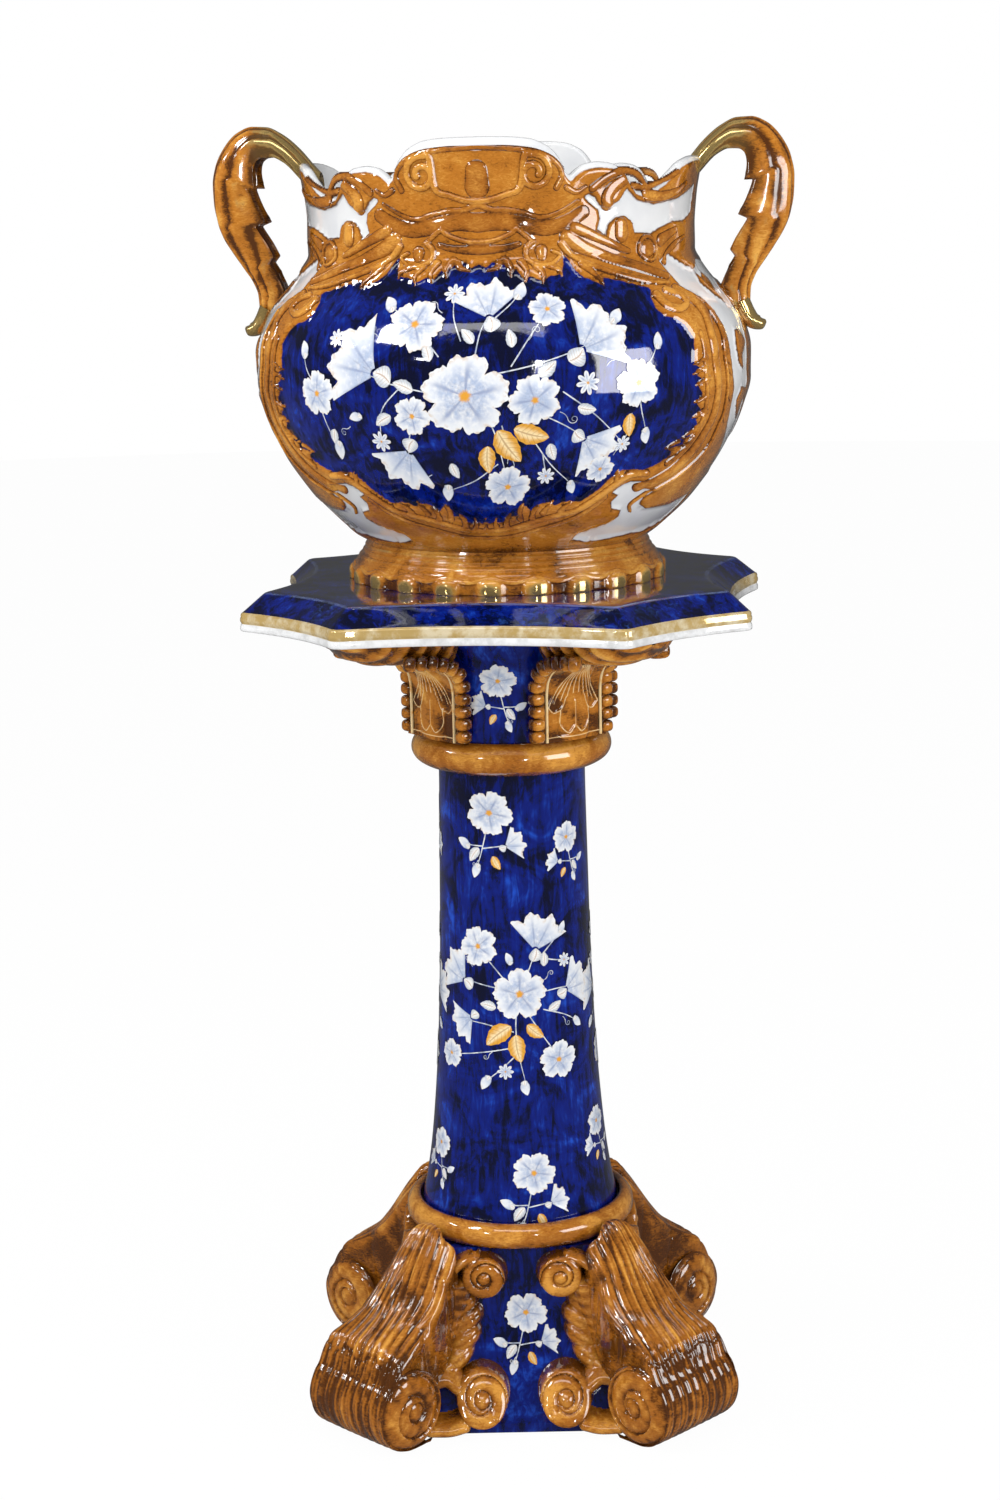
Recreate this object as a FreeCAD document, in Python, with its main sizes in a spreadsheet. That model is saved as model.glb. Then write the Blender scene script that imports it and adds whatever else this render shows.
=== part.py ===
"""Glazed earthenware jardiniere on its stand.

Four loose sections stand on one another: the foot of the stand, its column, its capital with the slab, and the
jardiniere. Millimetres, +Z up, front towards -Y, origin on the floor under the middle of the column.
"""
import FreeCAD
import Part
import os
import re
import Sketcher

SIZES = [
    # how the sections stand on one another
    ("FootTurn", 6.4, "degrees that the foot stands turned under the rest"),
    ("SeatClearance", 1.5, "gap all round where one section drops into another"),
    ("LegCount", 4, "scroll legs, and as many panels and brackets"),
    # plinth of the foot
    ("PlinthHeight", 152, "floor to the top of the plinth"),
    ("PlinthReach", 130, "middle to the foot of a panel"),
    ("PlinthSkirt", 8, "upright edge of a panel at the floor"),
    ("PlinthWaistReach", 98, "middle to a panel, half way up"),
    ("PlinthWaistHeight", 68, "floor to the half way point of a panel"),
    ("PlinthTopReach", 88, "middle to the top of a panel"),
    ("PlinthWall", 11, "thickness of the plinth's sides and top"),
    ("PlinthHole", 60, "radius of the hole through the plinth's top"),
    # collar round the column's lower end
    ("CollarHeight", 22, "height of the collar"),
    ("CollarWidth", 13, "bore to the outermost line of the collar"),
    ("CollarRounding", 7, "rounding of the collar's edges"),
    # scroll legs
    ("ToeReach", 180, "middle to the axis of a toe roll"),
    ("ToeRadius", 35, "radius of a toe roll"),
    ("ToeHalfWidth", 46, "half the width of a leg at its toe"),
    ("ToeShoulderReach", 192, "middle to the shoulder over the toe"),
    ("ToeShoulderHeight", 86, "floor to the shoulder over the toe"),
    ("KneeReach", 164, "middle to the hollow of a leg"),
    ("KneeHeight", 108, "floor to the hollow of a leg"),
    ("LegNeckReach", 135, "middle to the upper end of a leg's slope"),
    ("LegNeckHeight", 148, "floor to the upper end of a leg's slope"),
    ("LegTopReach", 120, "middle to the tip of a leg's leaf"),
    ("LegTopHeight", 167, "floor to the tip of a leg's leaf"),
    ("LegTopHalfWidth", 34, "half the width of a leg at its top"),
    ("LegWaistHalfWidth", 38, "half the width of a leg at its hollow"),
    ("LegRibStep", 4.5, "how far a leg's outer ribs lie under the next ones inwards"),
    ("LegRibHalfWidth", 29, "half the width over a leg's inner ribs"),
    ("LegSpineHalfWidth", 14, "half the width of a leg's middle rib"),
    ("VoluteRise", 4, "how far a spiral stands out from a leg's side"),
    ("VoluteInset", 2, "a toe's outline to its spiral"),
    ("VoluteBand", 7, "width of a spiral's band"),
    ("VolutePitch", 12, "how far a spiral draws in with each turn"),
    ("LuteGap", 1, "gap left beside the collar by pieces luted near it"),
    # small volutes at the panels' corners
    ("LowVoluteRadius", 23, "radius of a panel's lower volutes"),
    ("LowVoluteOffset", 36, "panel's middle line to a lower volute"),
    ("LowVoluteHeight", 33, "floor to the middle of a lower volute"),
    ("LowVoluteReach", 142, "middle to the face of a lower volute"),
    ("HighVoluteRadius", 19, "radius of a panel's upper volutes"),
    ("HighVoluteOffset", 33, "panel's middle line to an upper volute"),
    ("HighVoluteHeight", 129, "floor to the middle of an upper volute"),
    ("HighVoluteReach", 107, "middle to the face of an upper volute"),
    # column
    ("ColumnHeight", 410, "length of the column"),
    ("ColumnWall", 9, "wall of the column"),
    ("ColumnFootRadius", 86, "radius at the column's lower end"),
    ("ColumnFlareRadius", 79.5, "radius low on the flare"),
    ("ColumnFlareHeight", 52, "lower end to low on the flare"),
    ("ColumnLowRadius", 74.3, "radius high on the flare"),
    ("ColumnLowHeight", 96, "lower end to high on the flare"),
    ("ColumnWaistRadius", 69.5, "radius over the flare"),
    ("ColumnWaistHeight", 160, "lower end to over the flare"),
    ("ColumnMidRadius", 65.8, "radius half way up the column"),
    ("ColumnMidHeight", 250, "lower end to half way up the column"),
    ("ColumnTopRadius", 63, "radius at the column's upper end"),
    # ring under the capital
    ("RingHeight", 30, "height of the ring"),
    ("RingRadius", 86, "outermost radius of the ring"),
    ("RingUnderRadius", 72, "radius where the ring's underside ends"),
    ("RingUpperRadius", 79, "radius where the ring's top ends"),
    ("RingBulgeHeight", 15, "underside to the middle of the ring's flank"),
    ("RingFlank", 8, "height of the ring's upright flank"),
    ("RingBore", 40, "radius of the hole through the ring"),
    ("SpigotDepth", 18, "how deep the ring's spigot drops into the column"),
    # drum of the capital
    ("DrumHeight", 101, "ring to slab"),
    ("DrumRadius", 80, "radius of the drum's upright part"),
    ("DrumUprightHeight", 44, "height of the drum's upright part"),
    ("DrumCurveRadius", 86, "radius half way up the drum's hollow curve"),
    ("DrumCurveHeight", 76, "height half way up the drum's hollow curve"),
    ("DrumTopRadius", 104, "radius of the drum under the slab"),
    ("DrumWall", 9, "wall of the drum"),
    # brackets
    ("BracketFaceReach", 83, "middle to the sunk face of a bracket"),
    ("BracketHalfWidth", 45, "half the width over the beaded edges"),
    ("BeadWidth", 14, "width of a beaded edge"),
    ("BeadValleyReach", 85, "middle to the notch between two beads"),
    ("BeadBulge", 3.2, "how far a bead swells out"),
    ("BeadCount", 5, "beads on the upright part of an edge"),
    ("BeadStart", 1, "lower end of the lowest bead"),
    ("NeckHeight", 54, "height of a bracket's upright part"),
    ("ElbowReach", 103, "middle to the elbow of a bracket"),
    ("ElbowHeight", 65, "height of the elbow"),
    ("ElbowBeads", 2, "beads from the upright part to the elbow"),
    ("ArmBeads", 4, "beads from the elbow to the end of an edge"),
    ("BeadEndReach", 150, "middle to the end of a beaded edge"),
    ("BeadEndHeight", 73, "height at the end of a beaded edge"),
    ("ArmHalfWidth", 50, "half the width of a bracket's arm"),
    ("ArmReach", 186, "middle to the tip of an arm"),
    ("ArmTipDepth", 6, "upright edge of an arm's tip"),
    ("ArmBellyReach", 146, "middle to the lowest part of an arm"),
    ("ArmBellyHeight", 70, "height of the lowest part of an arm"),
    ("ArmCurlReach", 177, "middle to the curl of an arm's tip"),
    ("ArmCurlHeight", 84, "height of the curl of an arm's tip"),
    # slab
    ("SlabBandHeight", 15, "upright edge of the slab"),
    ("SlabBevelHeight", 16, "height of the slab's bevel"),
    ("SlabRadius", 242, "middle to a corner of the slab's edge"),
    ("SlabTopRadius", 221, "middle to a corner of the slab's top"),
    ("SlabCornerAngle", 28.8, "degrees from a side's middle to its corner"),
    ("SlabSideHollow", 20, "how far the slab's long sides curve in"),
    ("SlabCornerHollow", 9, "how far the slab's short sides curve in"),
    ("SlabTopThickness", 13, "thickness of the slab over the drum"),
    # foot of the jardiniere
    ("PotFootHeight", 33, "slab to the underside of the bowl"),
    ("PotFootRadius", 130, "radius of the foot ring at the slab"),
    ("PotFootWallRadius", 131, "radius over the bumps"),
    ("PotFootWallHeight", 15, "slab to the lowest reed"),
    ("PotFootNeckRadius", 118, "radius at the top of the foot ring"),
    ("PotFootBore", 98, "radius inside the foot ring"),
    ("ReedCount", 3, "reeds round the foot ring"),
    ("ReedBulge", 1.6, "how far a reed swells out"),
    ("BumpCount", 22, "bumps round the foot ring"),
    ("BumpHeight", 11, "height of a bump"),
    ("BumpBulge", 5, "how far a bump swells out"),
    # bowl
    ("BowlWall", 9, "wall of the bowl"),
    ("BowlLowRadius", 155, "radius low on the belly"),
    ("BowlLowHeight", 67, "slab to low on the belly"),
    ("BowlBellyRadius", 184, "radius half way up the belly"),
    ("BowlBellyHeight", 108, "slab to half way up the belly"),
    ("BowlFullRadius", 200.5, "radius high on the belly"),
    ("BowlFullHeight", 145, "slab to high on the belly"),
    ("BowlWidestRadius", 205.5, "widest radius of the bowl"),
    ("BowlWidestHeight", 178, "slab to the middle of the widest band"),
    ("BowlWidestBand", 24, "height of the widest band"),
    ("BowlShoulderRadius", 197.5, "radius at the start of the shoulder"),
    ("BowlShoulderHeight", 217, "slab to the start of the shoulder"),
    ("BowlUnderNeckRadius", 167.5, "radius under the neck"),
    ("BowlUnderNeckHeight", 257, "slab to under the neck"),
    ("BowlNeckRadius", 159, "narrowest radius of the neck"),
    ("BowlNeckHeight", 281, "slab to the middle of the neck"),
    ("BowlNeckBand", 20, "height of the neck's upright band"),
    ("BowlRimRadius", 168, "radius of the rim"),
    # moulded frame round the blue panels of the bowl, and the crest over each
    ("FrameRise", 2.6, "how far the frame stands out from the bowl"),
    ("FrameHalfWidth", 186, "middle to the outer edge of the frame"),
    ("FrameMiddleHeight", 160, "slab to the widest part of the frame"),
    ("FrameShoulderOffset", 147, "middle to the upper corner of the frame"),
    ("FrameShoulderHeight", 249, "slab to the upper corner of the frame"),
    ("FrameNeckOffset", 96, "middle to the edge of the crest at the neck"),
    ("FrameNeckHeight", 300, "slab to where the crest is narrow"),
    ("FrameCrestOffset", 108, "middle to the edge of the crest at the rim"),
    ("FrameLowOffset", 120, "middle to the lower corner of the frame"),
    ("FrameLowHeight", 78, "slab to the lower corner of the frame"),
    ("FrameBottomHeight", 50, "slab to the lower edge of the frame"),
    ("PanelHalfWidth", 166, "middle to the side edge of a blue panel"),
    ("PanelShoulderOffset", 95, "middle to the upper corner of a blue panel"),
    ("PanelShoulderHeight", 249, "slab to the upper corner of a blue panel"),
    ("PanelTopHeight", 262, "slab to the top of a blue panel"),
    ("PanelLowOffset", 95, "middle to the lower corner of a blue panel"),
    ("PanelLowHeight", 89, "slab to the lower corner of a blue panel"),
    ("PanelBottomHeight", 73, "slab to the bottom of a blue panel"),
    # lobes of the rim
    ("RimHeight", 358.6, "slab to the top of the rim's middle lobe"),
    ("RimNotchOffset", 69, "middle to a notch of the rim"),
    ("RimNotchHeight", 332, "slab to a notch"),
    ("RimSideLobeOffset", 94, "middle to the top of a side lobe"),
    ("RimSideLobeHeight", 341, "slab to the top of a side lobe"),
    ("RimDipOffset", 124, "middle to a dip beside a handle"),
    ("RimDipHeight", 318, "slab to a dip"),
    ("RimRootOffset", 156, "middle to the rim under a handle"),
    ("RimRootHeight", 343, "slab to the rim under a handle"),
    # handles
    ("HandleWidth", 36, "width of a handle, front to back"),
    ("HandleTopReach", 205, "middle to the highest point of a handle"),
    ("HandleTopHeight", 376, "slab to the highest point of a handle"),
    ("HandleReach", 243, "middle to the outermost point of a handle"),
    ("HandleReachHeight", 326, "slab to the outermost point of a handle"),
    ("HandleThickness", 36, "thickness of a handle at its outermost point"),
    ("HandleTopThickness", 25, "thickness of a handle at its highest point"),
    ("TailReach", 220, "middle to the tip of a handle's tail"),
    ("TailHeight", 210, "slab to the tip of a handle's tail"),
]

# heights of the sections over the floor
COLUMN_BASE = "PlinthHeight"
CAPITAL_BASE = "(PlinthHeight + ColumnHeight)"
DRUM_BASE = "(PlinthHeight + ColumnHeight + RingHeight)"
SLAB_BASE = "(PlinthHeight + ColumnHeight + RingHeight + DrumHeight)"
POT_BASE = "(PlinthHeight + ColumnHeight + RingHeight + DrumHeight + SlabBandHeight + SlabBevelHeight)"

COLLAR_BORE = "(ColumnFootRadius + SeatClearance)"
COLLAR_REACH = "(ColumnFootRadius + SeatClearance + CollarWidth)"
SIDES = ["front", "right", "rear", "left"]
CORNERS = ["front_right", "rear_right", "rear_left", "front_left"]

document = FreeCAD.newDocument("jardiniere_on_stand")
sheet = document.addObject("Spreadsheet::Sheet", "Sizes")
for row, (size_name, size_value, meaning) in enumerate(SIZES, start=1):
    sheet.set(f"A{row}", size_name)
    sheet.set(f"B{row}", str(size_value))
    sheet.set(f"C{row}", meaning)
    sheet.setAlias(f"B{row}", size_name)
document.recompute()


# ---------------------------------------------------------------- drawing helpers

def bound(formula):
    """Point a formula's size names at the sheet's cells."""
    return re.sub(r"\b([A-Z]\w+)", r"Sizes.\1", str(formula))


def bind(item, prop, formula):
    """Tie one property of an object to a formula of sizes."""
    item.setExpression(prop, bound(formula))


def count(size_name):
    """A whole number from the sheet."""
    return int(sheet.get(size_name))


def new_body(name):
    """An empty solid body."""
    return document.addObject("PartDesign::Body", name)


def plane_of(body, role):
    """One of a body's own origin planes."""
    return next(item for item in body.Origin.OriginFeatures if item.Role == role)


def new_sketch(body, name, role):
    """An empty sketch on one of the body's origin planes."""
    sketch = body.newObject("Sketcher::SketchObject", name)
    sketch.AttachmentSupport = [(plane_of(body, role), "")]
    sketch.MapMode = "FlatFace"
    return sketch


def point_at(sketch, corner):
    """Where a corner given by two formulas lies now."""
    across, up = (float(sketch.evalExpression(bound(formula))) for formula in corner)
    return FreeCAD.Vector(across, up, 0)


def pin(sketch, geometry, end, corner):
    """Hold a point of the sketch at a corner given by two formulas."""
    place = point_at(sketch, corner)
    for axis, formula, amount in zip("XY", corner, (place.x, place.y)):
        number = sketch.addConstraint(Sketcher.Constraint("Distance" + axis, geometry, end, amount))
        sketch.setExpression(f"Constraints[{number}]", bound(formula))


def outline(sketch, start, steps):
    """Draw a closed outline with every corner held by the sheet.

    A step of two formulas is a straight line to that corner. A step of four is an arc through the first
    two to the last two. A straight line closes the outline where the last step ends elsewhere.
    """
    steps = list(steps)
    if tuple(steps[-1][-2:]) != tuple(start):
        steps.append(start)
    corners = [start] + [step[-2:] for step in steps]
    first = sketch.GeometryCount
    for begin, step in zip(corners, steps):
        near, far = point_at(sketch, begin), point_at(sketch, step[-2:])
        if len(step) == 2:
            sketch.addGeometry(Part.LineSegment(near, far), False)
        else:
            sketch.addGeometry(Part.ArcOfCircle(near, point_at(sketch, step[:2]), far), False)
    ends = []
    for number, begin in enumerate(corners[:-1], start=first):
        near_first = sketch.getPoint(number, 1).distanceToPoint(point_at(sketch, begin)) < 1e-6
        ends.append((1, 2) if near_first else (2, 1))
    for number, step in enumerate(steps):
        geometry = first + number
        following = (number + 1) % len(steps)
        sketch.addConstraint(Sketcher.Constraint(
            "Coincident", geometry, ends[number][1], first + following, ends[following][0]))
        pin(sketch, geometry, ends[number][0], corners[number])
        if len(step) == 4:
            marker = sketch.addGeometry(Part.Point(point_at(sketch, step[:2])), True)
            pin(sketch, marker, 1, step[:2])
            sketch.addConstraint(Sketcher.Constraint("PointOnObject", marker, 1, geometry))


def bored_circle(sketch, formula, across="0", up="0"):
    """Draw a circle whose radius and centre are held by the sheet."""
    centre = point_at(sketch, (across, up))
    radius = float(sketch.evalExpression(bound(formula)))
    circle = sketch.addGeometry(Part.Circle(centre, FreeCAD.Vector(0, 0, 1), radius), False)
    number = sketch.addConstraint(Sketcher.Constraint("Radius", circle, radius))
    sketch.setExpression(f"Constraints[{number}]", bound(formula))
    pin(sketch, circle, 3, (across, up))


def turned(body, sketch, name):
    """Revolve a sketch once round the upright axis."""
    feature = body.newObject("PartDesign::Revolution", name)
    feature.Profile = sketch
    feature.ReferenceAxis = (sketch, ["V_Axis"])
    feature.Angle = 360
    return feature


def padded(body, sketch, name, length, symmetric=True):
    """Extrude a sketch by a length, both ways alike or along its normal only."""
    feature = body.newObject("PartDesign::Pad", name)
    feature.Profile = sketch
    feature.SideType = "Symmetric" if symmetric else "One side"
    bind(feature, "Length", length)
    return feature


def pocketed(body, sketch, name, length):
    """Cut a sketch's outline out of the body, both ways alike."""
    feature = body.newObject("PartDesign::Pocket", name)
    feature.Profile = sketch
    feature.SideType = "Symmetric"
    bind(feature, "Length", length)
    return feature


def turned_body(name, base, start, steps):
    """A body of revolution that stands at a height."""
    body = new_body(name)
    sketch = new_sketch(body, name + "Profile", "XZ_Plane")
    outline(sketch, start, steps)
    turned(body, sketch, name + "Turned")
    bind(body, "Placement.Base.z", base)
    return body


def boolean(kind, name, first, second):
    """A Part boolean of two objects."""
    result = document.addObject("Part::" + kind, name)
    result.Base = first
    result.Tool = second
    return result


def swells(begin, end, number, bulge, pointed=False):
    """Steps of a row of equal swells, round or pointed, along a straight line from begin to end.

    The swells lie to the right of the way from begin to end, each bulge high.
    """
    (x0, y0), (x1, y1) = begin, end
    run_x, run_y = f"(({x1}) - ({x0}))", f"(({y1}) - ({y0}))"
    length = f"sqrt({run_x} ^ 2 + {run_y} ^ 2)"
    steps = []
    for index in range(number):
        middle = (index + 0.5) / number
        until = (index + 1) / number
        crest = (
            f"{x0} + {run_x} * {middle} + {bulge} * {run_y} / {length}",
            f"{y0} + {run_y} * {middle} - {bulge} * {run_x} / {length}",
        )
        valley = (f"{x0} + {run_x} * {until}", f"{y0} + {run_y} * {until}")
        steps += [crest, valley] if pointed else [(*crest, *valley)]
    return steps


# ---------------------------------------------------------------- foot of the stand

def pyramid(name, shrink, height):
    """A square plinth with hollow-curved sides, its reach less by shrink and its own height.

    Two equal elevations, one drawn from the front and one from the side, are extruded and intersected.
    """
    halves = []
    for role in ("XZ_Plane", "YZ_Plane"):
        half = new_body(name + role[:2])
        sketch = new_sketch(half, name + role[:2] + "Profile", role)
        outline(sketch, (f"PlinthReach - {shrink}", "0"), [
            (f"PlinthReach - {shrink}", "PlinthSkirt"),
            (f"PlinthWaistReach - {shrink}", "PlinthWaistHeight", f"PlinthTopReach - {shrink}", height),
            (f"-(PlinthTopReach - {shrink})", height),
            (f"-(PlinthWaistReach - {shrink})", "PlinthWaistHeight",
             f"-(PlinthReach - {shrink})", "PlinthSkirt"),
            (f"-(PlinthReach - {shrink})", "0"),
        ])
        padded(half, sketch, name + role[:2] + "Pad", "2 * PlinthReach")
        bind(half, "Placement.Rotation.Angle", "FootTurn")
        halves.append(half)
    return boolean_common(name, halves)


def boolean_common(name, parts):
    """What two objects have in common."""
    return boolean("Common", name, parts[0], parts[1])


def foot_plinth():
    """The hollow plinth and the filled form that other pieces are fitted against."""
    form = pyramid("PlinthForm", "0", "PlinthHeight")
    hollow = pyramid("PlinthHollow", "PlinthWall", "PlinthHeight - PlinthWall")
    hole = document.addObject("Part::Cylinder", "PlinthTopHole")
    bind(hole, "Radius", "PlinthHole")
    bind(hole, "Height", "PlinthHeight")
    shell = boolean("Cut", "PlinthShell", form, hollow)
    plinth = boolean("Cut", "foot_plinth", shell, hole)
    return form, plinth


def foot_collar():
    """The rounded ring that the column stands in."""
    shoulder = f"{COLLAR_REACH} - CollarRounding"
    return turned_body("foot_collar", "PlinthHeight", (COLLAR_BORE, "0"), [
        (shoulder, "0"),
        (COLLAR_REACH, "CollarRounding"),
        (COLLAR_REACH, "CollarHeight - CollarRounding"),
        (shoulder, "CollarHeight"),
        (COLLAR_BORE, "CollarHeight"),
    ])


def half_turn(across, up, begin, end, sign):
    """One half circle of a spiral, between two offsets along its level line, under (-) or over (+) it."""
    return (f"{across} + (({begin}) + ({end})) / 2", f"{up} {sign} abs(({begin}) - ({end})) / 2",
            f"{across} + ({end})", up)


def spiral(across, up, radius, band, pitch):
    """Outline of a flat spiral band of one and a half turns that begins at the right and winds in."""
    outer = [radius, f"-({radius} - {pitch} / 2)", f"{radius} - {pitch}", f"-({radius} - 1.5 * {pitch})"]
    inner = [f"{radius} - {band}", f"-({radius} - {pitch} / 2 - {band})",
             f"{radius} - {pitch} - {band}", f"-({radius} - 1.5 * {pitch} - {band})"]
    steps = [half_turn(across, up, begin, end, sign)
             for begin, end, sign in zip(outer, outer[1:], "-+-")]
    steps.append((f"{across} + ({inner[3]})", up))
    steps += [half_turn(across, up, begin, end, sign)
              for begin, end, sign in zip(inner[::-1], inner[-2::-1], "-+-")]
    return (f"{across} + {radius}", up), steps


def leaf_slope(lower):
    """Steps of a leg's slope, from over the toe up to the tip and the collar, a share of the ribs' step lower."""
    drop = f"LegRibStep * {lower} * sin(45)"
    return [
        (f"ToeShoulderReach - {drop}", f"ToeShoulderHeight - {drop}", f"KneeReach - {drop}", f"KneeHeight - {drop}"),
        (f"(KneeReach + LegNeckReach) / 2 - 2 - {drop}", f"(KneeHeight + LegNeckHeight) / 2 - 3 - {drop}",
         f"LegNeckReach - {drop}", f"LegNeckHeight - {drop}"),
        (f"LegTopReach - {drop}", f"LegTopHeight - {drop}"),
        (f"{COLLAR_REACH} + LuteGap", f"LegTopHeight - 4 - {drop}"),
        (f"{COLLAR_REACH} + LuteGap", "PlinthHeight"),
    ]


def scroll_leg(corner, quarter, form):
    """A ribbed leg whose leaf falls from the collar and rolls up over the floor as a toe."""
    name = "scroll_leg_" + corner
    body = new_body(name + "_solid")
    side = new_sketch(body, name + "_side", "XZ_Plane")
    inner = "PlinthTopReach"
    over_toe = ("ToeReach + ToeRadius * cos(50)", "ToeRadius * (1 + sin(50))")
    outline(side, (inner, "0"), [
        ("ToeReach", "0"),
        ("ToeReach + ToeRadius", "ToeRadius", *over_toe),
        *leaf_slope(2),
        (inner, "PlinthHeight"),
    ])
    padded(body, side, name + "_pad", "2 * ToeHalfWidth")
    for lower, half_width in ((1, "LegRibHalfWidth"), (0, "LegSpineHalfWidth")):
        rib = new_sketch(body, f"{name}_rib{lower}", "XZ_Plane")
        outline(rib, over_toe, leaf_slope(lower))
        padded(body, rib, f"{name}_rib_pad{lower}", f"2 * {half_width}")
    for hand in ("", "-"):
        flank = new_sketch(body, f"{name}_flank{hand and '_far'}", "YZ_Plane")
        outline(flank, (f"{hand}(ToeHalfWidth + 1)", "2 * ToeRadius"), [
            (f"{hand}ToeHalfWidth", "2 * ToeRadius"),
            (f"{hand}(LegWaistHalfWidth + 1)", "KneeHeight - 8", f"{hand}LegWaistHalfWidth", "KneeHeight + 10"),
            (f"{hand}LegTopHalfWidth", "LegTopHeight + 1"),
            (f"{hand}(ToeHalfWidth + 1)", "LegTopHeight + 1"),
        ])
        cut = pocketed(body, flank, f"{name}_taper{hand and '_far'}", "4 * ToeReach")
        body.Tip = cut
    for hand in ("", "_far"):
        swirl = new_sketch(body, f"{name}_spiral{hand}", "XZ_Plane")
        bind(swirl, "AttachmentOffset.Base.z",
             "ToeHalfWidth" if hand else "-(ToeHalfWidth + VoluteRise)")
        start, steps = spiral("ToeReach", "ToeRadius", "(ToeRadius - VoluteInset)",
                              "VoluteBand", "VolutePitch")
        outline(swirl, start, steps)
        padded(body, swirl, f"{name}_volute{hand}", "VoluteRise", symmetric=False)
    turn = f"FootTurn - 45 + {quarter} * 360 / LegCount"
    bind(body, "Placement.Rotation.Angle", turn)
    return boolean("Cut", name, body, form)


def panel_scrolls(side, quarter, form, legs):
    """Two upper and two lower volutes that frame a panel."""
    name = "panel_scrolls_" + side
    rows = (
        ("low", "LowVoluteRadius", "LowVoluteOffset", "LowVoluteHeight", "LowVoluteReach"),
        ("high", "HighVoluteRadius", "HighVoluteOffset", "HighVoluteHeight", "HighVoluteReach"),
    )
    solids = []
    for row, radius, offset, height, reach in rows:
        for hand in ("", "-"):
            disc = document.addObject("Part::Cylinder", f"{name}_{row}{hand and '_far'}")
            bind(disc, "Radius", radius)
            bind(disc, "Height", f"{reach} - PlinthTopReach + PlinthWall")
            disc.Placement.Rotation = FreeCAD.Rotation(FreeCAD.Vector(1, 0, 0), 90)
            bind(disc, "Placement.Base.x", f"{hand}{offset}")
            bind(disc, "Placement.Base.y", "-(PlinthTopReach - PlinthWall)")
            bind(disc, "Placement.Base.z", height)
            solids.append(disc)
    group = document.addObject("Part::MultiFuse", name + "_round")
    group.Shapes = solids
    bind(group, "Placement.Rotation.Angle", f"FootTurn + {quarter} * 360 / LegCount")
    neighbours = document.addObject("Part::Compound", name + "_neighbours")
    neighbours.Links = [form] + legs
    return boolean("Cut", name, group, neighbours)


# ---------------------------------------------------------------- column

def column_shaft():
    """The hollow shaft with its flared foot."""
    return turned_body("column_shaft", COLUMN_BASE, ("ColumnFootRadius", "0"), [
        ("ColumnFootRadius", "CollarHeight - SeatClearance"),
        ("ColumnFlareRadius", "ColumnFlareHeight"),
        ("ColumnLowRadius", "ColumnLowHeight"),
        ("ColumnWaistRadius", "ColumnWaistHeight"),
        ("ColumnMidRadius", "ColumnMidHeight"),
        ("ColumnTopRadius", "ColumnHeight"),
        ("ColumnTopRadius - ColumnWall", "ColumnHeight"),
        ("ColumnTopRadius - ColumnWall", "0"),
    ])


# ---------------------------------------------------------------- capital

def capital_ring():
    """The rounded ring with its spigot."""
    spigot = "ColumnTopRadius - ColumnWall - SeatClearance"
    return turned_body("capital_ring", CAPITAL_BASE, (spigot, "0"), [
        ("RingUnderRadius", "0"),
        ("RingRadius", "RingBulgeHeight - RingFlank / 2"),
        ("RingRadius", "RingBulgeHeight + RingFlank / 2"),
        ("RingUpperRadius", "RingHeight"),
        ("RingBore", "RingHeight"),
        ("RingBore", "-SpigotDepth"),
        (spigot, "-SpigotDepth"),
    ])


def capital_drum():
    """The hollow drum and the filled form that the brackets are fitted against."""
    form = turned_body("DrumForm", DRUM_BASE, ("0", "0"), [
        ("DrumRadius", "0"),
        ("DrumRadius", "DrumUprightHeight"),
        ("DrumCurveRadius", "DrumCurveHeight"),
        ("DrumTopRadius", "DrumHeight"),
        ("0", "DrumHeight"),
    ])
    hollow = turned_body("DrumHollow", DRUM_BASE, ("0", "0"), [
        ("DrumRadius - DrumWall", "0"),
        ("DrumRadius - DrumWall", "DrumUprightHeight"),
        ("DrumTopRadius - DrumWall", "DrumHeight"),
        ("0", "DrumHeight"),
    ])
    return form, boolean("Cut", "capital_drum", form, hollow)


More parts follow.
